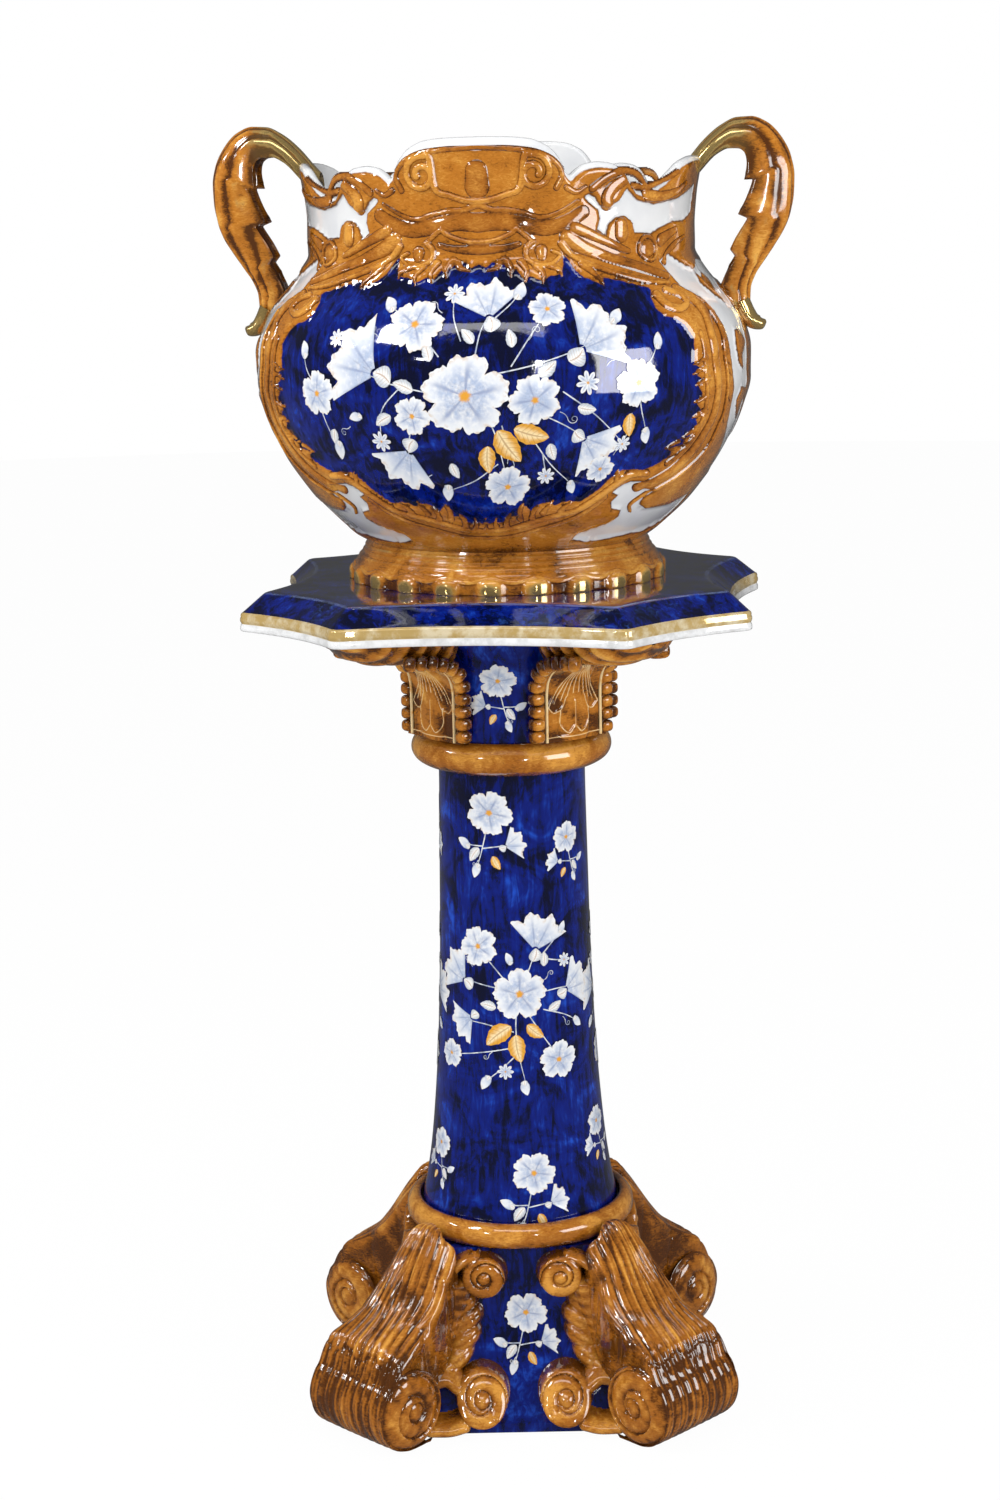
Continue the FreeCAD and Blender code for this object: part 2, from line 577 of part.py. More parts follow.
def scroll_bracket(corner, quarter, form):
    """A bracket with a beaded neck whose arm rolls out under the slab."""
    name = "bracket_" + corner
    body = new_body(name + "_solid")
    root = "DrumRadius / 2"
    arm = new_sketch(body, name + "_arm_side", "XZ_Plane")
    outline(arm, (root, "NeckHeight"), [
        ("BracketFaceReach", "NeckHeight"),
        ("ElbowReach", "ElbowHeight"),
        ("ArmBellyReach", "ArmBellyHeight", "ArmCurlReach", "ArmCurlHeight"),
        ("ArmReach", "DrumHeight - ArmTipDepth"),
        ("ArmReach", "DrumHeight"),
        (root, "DrumHeight"),
    ])
    padded(body, arm, name + "_arm", "2 * ArmHalfWidth")
    edge = new_sketch(body, name + "_edge_side", "XZ_Plane")
    foot = ("BeadValleyReach", "BeadStart")
    neck = ("BeadValleyReach", "NeckHeight")
    elbow = ("ElbowReach", "ElbowHeight")
    end = ("BeadEndReach", "BeadEndHeight")
    outline(edge, (root, "0"), [
        ("BeadValleyReach", "0"),
        foot,
        *swells(foot, neck, count("BeadCount"), "BeadBulge"),
        *swells(neck, elbow, count("ElbowBeads"), "BeadBulge"),
        *swells(elbow, end, count("ArmBeads"), "BeadBulge"),
        ("BeadEndReach", "DrumHeight"),
        (root, "DrumHeight"),
    ])
    padded(body, edge, name + "_edges", "2 * BracketHalfWidth")
    face = new_sketch(body, name + "_face_side", "XZ_Plane")
    outline(face, ("BracketFaceReach", "-1"), [
        ("BeadEndReach", "-1"),
        ("BeadEndReach", "ElbowHeight"),
        ("ElbowReach", "ElbowHeight"),
        ("BracketFaceReach", "NeckHeight"),
    ])
    body.Tip = pocketed(body, face, name + "_face", "2 * (BracketHalfWidth - BeadWidth)")
    bind(body, "Placement.Base.z", DRUM_BASE)
    bind(body, "Placement.Rotation.Angle", f"{quarter} * 360 / LegCount - 45")
    return boolean("Cut", name, body, form)


def slab_outline(sketch, radius):
    """Eight hollow sides: four long ones to the front, sides and rear, and four short ones between."""
    def on_circle(angle, reach=radius):
        return (f"({reach}) * cos({angle})", f"({reach}) * sin({angle})")

    steps = []
    start = on_circle("-90 - SlabCornerAngle")
    for quarter in range(4):
        heading = f"(-90 + {90 * quarter})"
        long_side = f"{radius} * cos(SlabCornerAngle) - SlabSideHollow"
        short_side = f"{radius} * cos(45 - SlabCornerAngle) - SlabCornerHollow"
        steps.append((*on_circle(heading, long_side), *on_circle(f"{heading} + SlabCornerAngle")))
        following = f"{heading} + 90 - SlabCornerAngle"
        steps.append((*on_circle(f"{heading} + 45", short_side), *on_circle(following)))
    steps[-1] = (*steps[-1][:2], *start)
    outline(sketch, start, steps)


def top_slab():
    """The slab: an upright band, a bevel over it, and a recess over the drum's hollow."""
    body = new_body("top_slab")
    band = new_sketch(body, "slab_band_plan", "XY_Plane")
    slab_outline(band, "SlabRadius")
    padded(body, band, "slab_band", "SlabBandHeight", symmetric=False)
    lower = new_sketch(body, "slab_lower_plan", "XY_Plane")
    bind(lower, "AttachmentOffset.Base.z", "SlabBandHeight")
    slab_outline(lower, "SlabRadius")
    upper = new_sketch(body, "slab_upper_plan", "XY_Plane")
    bind(upper, "AttachmentOffset.Base.z", "SlabBandHeight + SlabBevelHeight")
    slab_outline(upper, "SlabTopRadius")
    bevel = body.newObject("PartDesign::AdditiveLoft", "slab_bevel")
    bevel.Profile = lower
    bevel.Sections = [upper]
    bevel.Ruled = True
    recess = new_sketch(body, "slab_recess_plan", "XY_Plane")
    bored_circle(recess, "DrumTopRadius - DrumWall")
    body.Tip = pocketed(body, recess, "slab_recess",
                        "2 * (SlabBandHeight + SlabBevelHeight - SlabTopThickness)")
    bind(body, "Placement.Base.z", SLAB_BASE)
    return body


# ---------------------------------------------------------------- jardiniere

def jardiniere_foot():
    """The foot ring: reeds over a row of bumps."""
    body = new_body("jardiniere_foot")
    profile = new_sketch(body, "pot_foot_profile", "XZ_Plane")
    wall = ("PotFootWallRadius", "PotFootWallHeight")
    neck = ("PotFootNeckRadius", "PotFootHeight")
    outline(profile, ("PotFootBore", "0"), [
        ("PotFootRadius", "0"),
        wall,
        *swells(wall, neck, count("ReedCount"), "ReedBulge", pointed=True),
        ("PotFootBore", "PotFootHeight"),
    ])
    turned(body, profile, "pot_foot_ring")
    plan = new_sketch(body, "pot_foot_bumps_plan", "XY_Plane")
    bumps = count("BumpCount")
    lobes = []
    for index in range(bumps):
        middle = f"({index + 0.5} * 360 / BumpCount)"
        end = f"({(index + 1) % bumps} * 360 / BumpCount)"
        lobes.append((
            f"(PotFootRadius + BumpBulge) * cos{middle}", f"(PotFootRadius + BumpBulge) * sin{middle}",
            f"PotFootRadius * cos{end}", f"PotFootRadius * sin{end}",
        ))
    start = lobes[-1][2:]
    outline(plan, start, lobes)
    bored_circle(plan, "PotFootBore")
    padded(body, plan, "pot_foot_bumps", "BumpHeight", symmetric=False)
    bind(body, "Placement.Base.z", POT_BASE)
    return body


def bowl_profile(name, wall, floor, top):
    """The bowl's body of revolution, drawn in by a wall, from a floor height to a top height."""
    def at(radius, height):
        return (f"{radius} - {wall}", height)

    return turned_body(name, POT_BASE, ("0", floor), [
        at("PotFootNeckRadius", floor),
        at("BowlLowRadius", "BowlLowHeight"),
        at("BowlBellyRadius", "BowlBellyHeight"),
        at("BowlFullRadius", "BowlFullHeight"),
        at("BowlWidestRadius", "BowlWidestHeight - BowlWidestBand / 2"),
        at("BowlWidestRadius", "BowlWidestHeight + BowlWidestBand / 2"),
        at("BowlShoulderRadius", "BowlShoulderHeight"),
        at("BowlUnderNeckRadius", "BowlUnderNeckHeight"),
        at("BowlNeckRadius", "BowlNeckHeight - BowlNeckBand / 2"),
        at("BowlNeckRadius", "BowlNeckHeight + BowlNeckBand / 2"),
        at("BowlRimRadius", top),
        ("0", top),
    ])


def rim_cutter():
    """What lies over the rim's lobes, seen from the front."""
    body = new_body("RimCutter")
    sketch = new_sketch(body, "rim_elevation", "XZ_Plane")
    right = [
        ("0", "RimHeight", "RimNotchOffset", "RimNotchHeight"),
        ("RimSideLobeOffset", "RimSideLobeHeight", "RimDipOffset", "RimDipHeight"),
        ("RimDipOffset + (RimRootOffset - RimDipOffset) * 0.4", "RimDipHeight + 5",
         "RimRootOffset", "RimRootHeight"),
        ("2 * BowlRimRadius", "RimRootHeight"),
        ("2 * BowlRimRadius", "RimHeight + 10"),
        ("-2 * BowlRimRadius", "RimHeight + 10"),
        ("-2 * BowlRimRadius", "RimRootHeight"),
        ("-RimRootOffset", "RimRootHeight"),
        ("-(RimDipOffset + (RimRootOffset - RimDipOffset) * 0.4)", "RimDipHeight + 5",
         "-RimDipOffset", "RimDipHeight"),
        ("-RimSideLobeOffset", "RimSideLobeHeight", "-RimNotchOffset", "RimNotchHeight"),
    ]
    outline(sketch, ("-RimNotchOffset", "RimNotchHeight"), right)
    padded(body, sketch, "rim_cut", "4 * BowlRimRadius")
    bind(body, "Placement.Base.z", POT_BASE)
    return body


def ring_of_arcs(sketch, corners, bulges):
    """Draw a closed line that is alike left and right: arcs through bulges, between corners.

    The corners run from the top of the middle line down the right-hand side to the bottom of the middle line.
    """
    steps = [(*bulge, *corner) for bulge, corner in zip(bulges, corners[1:])]
    back = [(f"-({bulge[0]})", bulge[1], f"-({corner[0]})" if corner[0] != "0" else "0", corner[1])
            for bulge, corner in zip(bulges[::-1], corners[-2::-1])]
    outline(sketch, corners[0], steps + back)


def raised_frame(form):
    """The filled bowl with its moulded frames: what stands out round the panels, seen from front and rear alike."""
    body = new_body("FrameElevation")
    sketch = new_sketch(body, "frame_elevation", "XZ_Plane")
    outer = [
        ("0", "RimHeight + FrameRise"),
        ("FrameCrestOffset", "RimHeight"),
        ("FrameNeckOffset", "FrameNeckHeight"),
        ("FrameShoulderOffset", "FrameShoulderHeight"),
        ("FrameHalfWidth", "FrameMiddleHeight"),
        ("FrameLowOffset", "FrameLowHeight"),
        ("0", "FrameBottomHeight"),
    ]
    outer_bulges = [
        ("FrameCrestOffset / 2", "RimHeight + FrameRise"),
        ("FrameNeckOffset - 2 * FrameRise", "(RimHeight + FrameNeckHeight) / 2"),
        ("(FrameNeckOffset + FrameShoulderOffset) / 2 - FrameRise * 3", "(FrameNeckHeight + FrameShoulderHeight) / 2"),
        ("(FrameHalfWidth + FrameShoulderOffset) / 2 + FrameRise * 3",
         "(FrameMiddleHeight + FrameShoulderHeight) / 2 + FrameRise * 4"),
        ("(FrameHalfWidth + FrameLowOffset) / 2 + FrameRise * 5", "(FrameMiddleHeight + FrameLowHeight) / 2"),
        ("FrameLowOffset / 2", "(FrameLowHeight + FrameBottomHeight) / 2 - FrameRise * 3"),
    ]
    ring_of_arcs(sketch, outer, outer_bulges)
    inner = [
        ("0", "PanelTopHeight"),
        ("PanelShoulderOffset", "PanelShoulderHeight"),
        ("PanelHalfWidth", "FrameMiddleHeight"),
        ("PanelLowOffset", "PanelLowHeight"),
        ("0", "PanelBottomHeight"),
    ]
    inner_bulges = [
        ("PanelShoulderOffset / 2", "(PanelTopHeight + PanelShoulderHeight) / 2 + FrameRise"),
        ("(PanelShoulderOffset + PanelHalfWidth) / 2 + FrameRise * 7",
         "(PanelShoulderHeight + FrameMiddleHeight) / 2 + FrameRise * 5"),
        ("(PanelLowOffset + PanelHalfWidth) / 2 + FrameRise * 4", "(PanelLowHeight + FrameMiddleHeight) / 2 - FrameRise * 4"),
        ("PanelLowOffset / 2", "(PanelLowHeight + PanelBottomHeight) / 2 - FrameRise"),
    ]
    ring_of_arcs(sketch, inner, inner_bulges)
    padded(body, sketch, "frame_pad", "4 * BowlRimRadius")
    bind(body, "Placement.Base.z", POT_BASE)
    swollen = bowl_profile("BowlSwollen", "(-FrameRise)", "PotFootHeight", "RimHeight")
    return boolean("Fuse", "BowlFramed", form, boolean("Common", "BowlFrames", swollen, body))


def jardiniere_bowl():
    """The bowl with its frames and lobed rim, and the filled form that the handles are fitted against."""
    form = bowl_profile("BowlForm", "0", "PotFootHeight", "RimHeight")
    hollow = bowl_profile("BowlHollow", "BowlWall", "PotFootHeight + BowlWall", "RimHeight")
    shell = boolean("Cut", "BowlShell", raised_frame(form), hollow)
    bowl = boolean("Cut", "jardiniere_bowl", shell, rim_cutter())
    return form, bowl


def handle(name, mirrored, form):
    """An acanthus handle: a leaf that rises from the rim, curls out and down, and ends in a tail."""
    body = new_body(name + "_solid")
    side = new_sketch(body, name + "_side", "XZ_Plane")
    inner_reach = "(HandleReach - HandleThickness)"
    hand = "-" if mirrored else ""

    def at(across, up):
        return (f"{hand}({across})", up)

    def via(across, up, far_across, far_up):
        return (*at(across, up), *at(far_across, far_up))

    outline(side, at("BowlNeckRadius - 8", "RimRootHeight - 14"), [
        at("BowlNeckRadius - 4", "RimRootHeight"),
        via("HandleTopReach - 23", "HandleTopHeight - 7", "HandleTopReach", "HandleTopHeight"),
        via("HandleReach - 10", "HandleTopHeight - 19", "HandleReach", "HandleReachHeight"),
        via("HandleReach - 1", "HandleReachHeight - 24", "HandleReach - 7", "HandleReachHeight - 43"),
        via("HandleReach - 9", "HandleReachHeight - 53", "TailReach + 2", "TailHeight + 57"),
        via("TailReach - 3", "TailHeight + 45", "TailReach - 11", "TailHeight + 36"),
        via("TailReach - 14", "TailHeight + 22", "TailReach - 10", "TailHeight + 12"),
        via("TailReach - 4", "TailHeight + 8", "TailReach", "TailHeight"),
        via("TailReach - 6", "TailHeight - 7", "TailReach - 16", "TailHeight - 8"),
        at("BowlShoulderRadius - 8", "TailHeight - 6"),
        at("BowlShoulderRadius - 21", "BowlShoulderHeight + 20"),
        at("BowlShoulderRadius - 13", "BowlShoulderHeight + 24"),
        via("BowlShoulderRadius - 7", "BowlShoulderHeight + 34", "BowlShoulderRadius - 4", "BowlShoulderHeight + 49"),
        via("BowlShoulderRadius - 1", "HandleReachHeight - 47", "BowlShoulderRadius + 6", "HandleReachHeight - 33"),
        via(f"{inner_reach} + 1", "HandleReachHeight - 18", inner_reach, "HandleReachHeight - 4"),
        via(f"{inner_reach} - 2", "HandleTopHeight - HandleTopThickness - 8",
            "HandleTopReach - 11", "HandleTopHeight - HandleTopThickness - 1"),
        via("HandleTopReach - 25", "HandleTopHeight - HandleTopThickness - 5",
            "BowlNeckRadius + 5", "RimRootHeight - 12"),
    ])
    padded(body, side, name + "_pad", "HandleWidth")
    bind(body, "Placement.Base.z", POT_BASE)
    return boolean("Cut", name, body, form)


# ---------------------------------------------------------------- assembly

def build():
    """Make every sub-part and give it its label."""
    nodes = {}
    plinth_form, nodes["foot_plinth"] = foot_plinth()
    nodes["foot_collar"] = foot_collar()
    legs = []
    for quarter, corner in enumerate(CORNERS):
        legs.append(scroll_leg(corner, quarter, plinth_form))
        nodes["scroll_leg_" + corner] = legs[-1]
    for quarter, side in enumerate(SIDES):
        beside = [legs[quarter], legs[quarter - 1]]
        nodes["panel_scrolls_" + side] = panel_scrolls(side, quarter, plinth_form, beside)
    nodes["column_shaft"] = column_shaft()
    nodes["capital_ring"] = capital_ring()
    drum_form, nodes["capital_drum"] = capital_drum()
    for quarter, corner in enumerate(CORNERS):
        nodes["bracket_" + corner] = scroll_bracket(corner, quarter, drum_form)
    nodes["top_slab"] = top_slab()
    nodes["jardiniere_foot"] = jardiniere_foot()
    bowl_form, nodes["jardiniere_bowl"] = jardiniere_bowl()
    for name, mirrored in (("handle_left", True), ("handle_right", False)):
        nodes[name] = handle(name, mirrored, bowl_form)
    for name, item in nodes.items():
        item.Label = name
    return nodes


def check(nodes):
    """Stop at any object that failed and at any sub-part that isn't a sound solid."""
    for item in document.Objects:
        if "Invalid" in item.State or "Error" in item.State:
            raise RuntimeError(f"{item.Name} failed: {item.State}")
    for name, item in nodes.items():
        shape = item.Shape
        if shape.isNull() or not shape.isValid() or not shape.Solids:
            raise RuntimeError(f"{name} isn't a sound solid")


def write(nodes):
    """Write each sub-part to its own file."""
    os.makedirs("parts", exist_ok=True)
    for name, item in nodes.items():
        item.Shape.exportStep(f"parts/{name}.step")
        print(f"{name}: {len(item.Shape.Solids)} solids, {item.Shape.Volume / 1000:.1f} cm3")


sub_parts = build()
document.recompute()
check(sub_parts)
write(sub_parts)
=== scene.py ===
"""Looks of a glazed earthenware jardiniere that stands on a column with scroll legs.

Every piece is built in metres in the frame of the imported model, front towards -Y. Angles round the upright axis
are in degrees from the front, positive towards the right-hand handle. Most sizes are given in millimetres.
"""
import logging
import math
from dataclasses import dataclass, field
from enum import Enum

import bpy
import numpy as np
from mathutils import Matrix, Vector


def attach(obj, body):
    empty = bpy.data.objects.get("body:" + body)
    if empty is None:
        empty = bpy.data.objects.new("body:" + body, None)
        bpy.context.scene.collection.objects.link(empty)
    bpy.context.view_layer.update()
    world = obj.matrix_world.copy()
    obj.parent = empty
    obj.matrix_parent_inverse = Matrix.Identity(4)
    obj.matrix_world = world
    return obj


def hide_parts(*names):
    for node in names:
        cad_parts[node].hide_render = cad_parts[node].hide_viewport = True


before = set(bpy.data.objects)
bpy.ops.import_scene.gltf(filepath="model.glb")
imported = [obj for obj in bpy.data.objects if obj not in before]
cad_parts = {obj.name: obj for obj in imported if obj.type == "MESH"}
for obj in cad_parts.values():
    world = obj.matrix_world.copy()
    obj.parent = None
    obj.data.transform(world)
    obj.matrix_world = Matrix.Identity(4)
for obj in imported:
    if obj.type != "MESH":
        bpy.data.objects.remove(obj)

logging.basicConfig(level=logging.INFO, format="%(message)s")
log = logging.getLogger("jardiniere")

MM = 0.001
POT_BASE = 724.0
SLAB_BASE = 693.0
DRUM_BASE = 592.0
RING_BASE = 562.0
COLUMN_BASE = 152.0
FOOT_TURN = 6.4


# ---------------------------------------------------------------- curves and fields

def smooth_curve(knots: np.ndarray, values: np.ndarray, at: np.ndarray) -> np.ndarray:
    """Read a curve that passes through its knots and never overshoots between them.

    Args:
        knots: Increasing positions.
        values: Value at each knot.
        at: Positions to read.

    Returns:
        The curve's values. Slopes at the knots are the harmonic means of the neighbouring straight slopes.
    """
    steps = np.diff(knots)
    rises = np.diff(values) / steps
    slopes = np.zeros(len(knots))
    same = rises[:-1] * rises[1:] > 0
    weight_a, weight_b = 2 * steps[1:] + steps[:-1], steps[1:] + 2 * steps[:-1]
    safe_a, safe_b = np.where(same, rises[:-1], 1), np.where(same, rises[1:], 1)
    slopes[1:-1] = np.where(same, (weight_a + weight_b) / (weight_a / safe_a + weight_b / safe_b), 0)
    slopes[0], slopes[-1] = rises[0], rises[-1]
    at = np.clip(at, knots[0], knots[-1])
    cell = np.clip(np.searchsorted(knots, at, side="right") - 1, 0, len(steps) - 1)
    t = (at - knots[cell]) / steps[cell]
    return ((2 * t ** 3 - 3 * t ** 2 + 1) * values[cell] + (t ** 3 - 2 * t ** 2 + t) * steps[cell] * slopes[cell]
            + (3 * t ** 2 - 2 * t ** 3) * values[cell + 1] + (t ** 3 - t ** 2) * steps[cell] * slopes[cell + 1])


def flowing_line(points: list, per_span: int = 8) -> np.ndarray:
    """Draw a smooth line through points.

    Args:
        points: The points it passes through.
        per_span: Samples between two neighbours.

    Returns:
        The samples, one row each.
    """
    corners = np.asarray(points, float)
    if len(corners) < 3:
        return corners
    padded = np.vstack([2 * corners[0] - corners[1], corners, 2 * corners[-1] - corners[-2]])
    t = np.linspace(0, 1, per_span, endpoint=False)[:, None]
    spans = []
    for a, b, c, d in zip(padded, padded[1:], padded[2:], padded[3:]):
        spans.append(0.5 * (2 * b + (c - a) * t + (2 * a - 5 * b + 4 * c - d) * t ** 2
                            + (3 * b - a - 3 * c + d) * t ** 3))
    return np.vstack(spans + [corners[-1:]])


def curl(centre: tuple, start: float, end: float, begin: float, sweep: float, samples: int = 40) -> list:
    """Draw a spiral in millimetres on a plane.

    Args:
        centre: Its eye.
        start: Radius where it begins.
        end: Radius where it ends.
        begin: Heading of its first point from the eye, in degrees.
        sweep: Degrees that it winds through, positive anticlockwise.
        samples: Number of points.

    Returns:
        The points. The radius shrinks evenly with the turning.
    """
    points = []
    for t in np.linspace(0, 1, samples):
        radius = start + (end - start) * t
        heading = math.radians(begin + sweep * t)
        points.append((centre[0] + radius * math.cos(heading), centre[1] + radius * math.sin(heading)))
    return points


def distance_along(across: np.ndarray, up: np.ndarray, line: np.ndarray) -> tuple:
    """Measure how far points are from a line and how far along it the nearest place is.

    Args:
        across: Points' first coordinate.
        up: Points' second coordinate.
        line: The line's corners.

    Returns:
        Distances, and the share of the line's length at the nearest place.
    """
    best = np.full(across.shape, 1e9)
    share = np.zeros(across.shape)
    spans = line[1:] - line[:-1]
    lengths = np.hypot(spans[:, 0], spans[:, 1])
    before = np.concatenate([[0], np.cumsum(lengths)])
    for corner, span, length, run in zip(line, spans, lengths, before):
        if length < 1e-9:
            continue
        t = np.clip(((across - corner[0]) * span[0] + (up - corner[1]) * span[1]) / length ** 2, 0, 1)
        gap = np.hypot(across - corner[0] - t * span[0], up - corner[1] - t * span[1])
        nearer = gap < best
        best = np.where(nearer, gap, best)
        share = np.where(nearer, (run + t * length) / before[-1], share)
    return best, share


def inside_by(across: np.ndarray, up: np.ndarray, outline: np.ndarray) -> np.ndarray:
    """Measure how far points lie inside a closed outline.

    Args:
        across: Points' first coordinate.
        up: Points' second coordinate.
        outline: The outline's corners.

    Returns:
        Distances to the outline, positive inside it.
    """
    closed = np.vstack([outline, outline[:1]])
    gap, _ = distance_along(across, up, closed)
    crossings = np.zeros(across.shape, int)
    for (x0, y0), (x1, y1) in zip(closed[:-1], closed[1:]):
        if y0 != y1:
            spans = (y0 > up) != (y1 > up)
            crossings += spans & (across < x0 + (up - y0) * (x1 - x0) / (y1 - y0))
    return np.where(crossings % 2 == 1, gap, -gap)


# ---------------------------------------------------------------- meshes

def grid_faces(rows: int, columns: int, wrap: bool = False) -> np.ndarray:
    """Number the four-sided faces of a grid of points, row by row.

    Args:
        rows: Rows of points.
        columns: Points in a row.
        wrap: Whether each row closes on itself.

    Returns:
        Corner numbers of each face, facing outwards where rows rise and columns run anticlockwise from above.
    """
    row, column = np.meshgrid(np.arange(rows - 1), np.arange(columns if wrap else columns - 1), indexing="ij")
    following = (column + 1) % columns
    low, high = row * columns, (row + 1) * columns
    return np.stack([low + column, low + following, high + following, high + column], -1).reshape(-1, 4)


@dataclass
class Cloth:
    """Points and faces of a piece that is still being put together."""

    points: list = field(default_factory=list)
    faces: list = field(default_factory=list)
    marks: dict = field(default_factory=dict)
    kinds: list = field(default_factory=list)
    total: int = 0

    def add(self, points: np.ndarray, faces: np.ndarray, kind: int = 0, **marks: np.ndarray) -> None:
        """Add some points and the faces between them.

        Args:
            points: Places in metres, one row each.
            faces: Corner numbers, counted within these points.
            kind: Which of the piece's finishes the faces take.
            **marks: Values at the points, such as their relief.
        """
        points = np.asarray(points, float).reshape(-1, 3)
        faces = np.asarray(faces, int)
        self.points.append(points)
        self.faces.append(faces + self.total)
        self.kinds.append(np.full(len(faces), kind))
        for name in set(marks) | set(self.marks):
            earlier = self.marks.setdefault(name, [np.zeros(self.total)] if self.total else [])
            value = marks.get(name, 0.0)
            earlier.append(np.broadcast_to(np.asarray(value, float).ravel(), (len(points),))
                           if np.ndim(value) else np.full(len(points), float(value)))
        self.total += len(points)

    def piece(self, name: str, body: str, slot: str, finishes: list, replaces: tuple = ()) -> bpy.types.Object:
        """Make the piece.

        Args:
            name: Its name.
            body: The body it rides on.
            slot: The record's material slot it belongs to; not used.
            finishes: Its finishes, in the order of its faces' kinds.
            replaces: CAD nodes it stands for.

        Returns:
            The piece, smoothly shaded, at the origin.
        """
        mesh = bpy.data.meshes.new(name)
        faces = [tuple(int(n) for n in face) for block in self.faces for face in block]
        mesh.from_pydata(np.vstack(self.points).tolist(), [], faces)
        for mark, values in self.marks.items():
            layer = mesh.attributes.new(mark, "FLOAT", "POINT")
            layer.data.foreach_set("value", np.concatenate(values).astype(np.float32))
        mesh.polygons.foreach_set("use_smooth", np.ones(len(faces), bool))
        for finish in finishes:
            mesh.materials.append(finish.material())
        if len(finishes) > 1:
            mesh.polygons.foreach_set("material_index", np.concatenate(self.kinds).astype(np.int32))
        mesh.validate()
        obj = bpy.data.objects.new(name, mesh)
        bpy.context.scene.collection.objects.link(obj)
        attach(obj, body)
        if replaces:
            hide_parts(*replaces)
        log.info("%s: %d faces on %s", name, len(faces), body)
        return obj


def sharpen(obj: bpy.types.Object, angle: float = 40.0) -> None:
    """Keep edges crisp where faces meet at more than an angle.

    Args:
        obj: The piece.
        angle: The angle in degrees.
    """
    obj.data.set_sharp_from_angle(angle=math.radians(angle))


# ---------------------------------------------------------------- finishes

class Paint:
    """A material's nodes, wired by short calls."""

    def __init__(self, name: str, tree: bpy.types.NodeTree = None) -> None:
        """Open a new material, or a node group's tree.

        Args:
            name: The material's name.
            tree: The tree of a node group to draw in.
        """
        self.made = None
        self.tree = tree
        if tree is None:
            self.made = bpy.data.materials.new(name)
            self.made.use_nodes = True
            self.tree = self.made.node_tree
            self.shader = next(n for n in self.tree.nodes if n.type == "BSDF_PRINCIPLED")

    def node(self, kind: str, inputs: dict = None, **settings) -> bpy.types.Node:
        """Add a node.

        Args:
            kind: Blender's name for it.
            inputs: Values or sockets for its inputs, by name or number.
            **settings: Its own settings.

        Returns:
            The node.
        """
        made = self.tree.nodes.new(kind)
        for key, value in settings.items():
            setattr(made, key, value)
        for key, value in (inputs or {}).items():
            self.join(made.inputs[key], value)
        return made

    def join(self, socket: bpy.types.NodeSocket, value) -> None:
        """Give an input a value, or link it to an output."""
        if isinstance(value, bpy.types.NodeSocket):
            self.tree.links.new(value, socket)
        elif isinstance(value, tuple) and len(value) == 3 and socket.type == "RGBA":
            socket.default_value = (*value, 1.0)
        else:
            socket.default_value = value

    def mark(self, name: str) -> bpy.types.NodeSocket:
        """Read a value stored at the piece's points."""
        return self.node("ShaderNodeAttribute", attribute_name=name).outputs["Fac"]

    def sum(self, kind: str, a, b=0.0, clamp: bool = False) -> bpy.types.NodeSocket:
        """Combine two numbers, such as ADD or MULTIPLY."""
        return self.node("ShaderNodeMath", {0: a, 1: b}, operation=kind, use_clamp=clamp).outputs[0]

    def step(self, value, low: float, high: float) -> bpy.types.NodeSocket:
        """Rise smoothly from 0 to 1 between two values."""
        return self.node("ShaderNodeMapRange", {"Value": value, "From Min": low, "From Max": high},
                         interpolation_type="SMOOTHSTEP").outputs["Result"]

    def blend(self, share, a, b) -> bpy.types.NodeSocket:
        """Mix two colours."""
        made = self.tree.nodes.new("ShaderNodeMix")
        made.data_type = "RGBA"
        for key, value in ((0, share), (6, a), (7, b)):
            self.join(made.inputs[key], value)
        return made.outputs[2]

    def place(self, scale: tuple = (1, 1, 1), turn: float = 0.0) -> bpy.types.NodeSocket:
        """Object coordinates, scaled and turned round the upright axis."""
        source = self.node("ShaderNodeTexCoord").outputs["Object"]
        return self.node("ShaderNodeMapping", {"Vector": source, "Scale": scale,
                                               "Rotation": (0, 0, math.radians(turn))}).outputs[0]

    def noise(self, scale: float, detail: float = 3.0, rough: float = 0.5, swirl: float = 0.0,
              where=None) -> bpy.types.NodeSocket:
        """Cloudy variation of a size, from 0 to 1."""
        inputs = {"Scale": scale, "Detail": detail, "Roughness": rough, "Distortion": swirl}
        inputs["Vector"] = where if where is not None else self.place()
        return self.node("ShaderNodeTexNoise", inputs).outputs["Fac"]

    def group(self, tree: bpy.types.NodeTree, **inputs) -> bpy.types.Node:
        """Add a shared node group."""
        made = self.node("ShaderNodeGroup", node_tree=tree)
        for key, value in inputs.items():
            self.join(made.inputs[key.replace("_", " ")], value)
        return made

    def bump(self, height, depth: float, strength: float = 1.0, over=None) -> bpy.types.NodeSocket:
        """Turn a height from 0 to 1 into a surface normal."""
        inputs = {"Height": height, "Distance": depth, "Strength": strength}
        if over is not None:
            inputs["Normal"] = over
        return self.node("ShaderNodeBump", inputs).outputs["Normal"]


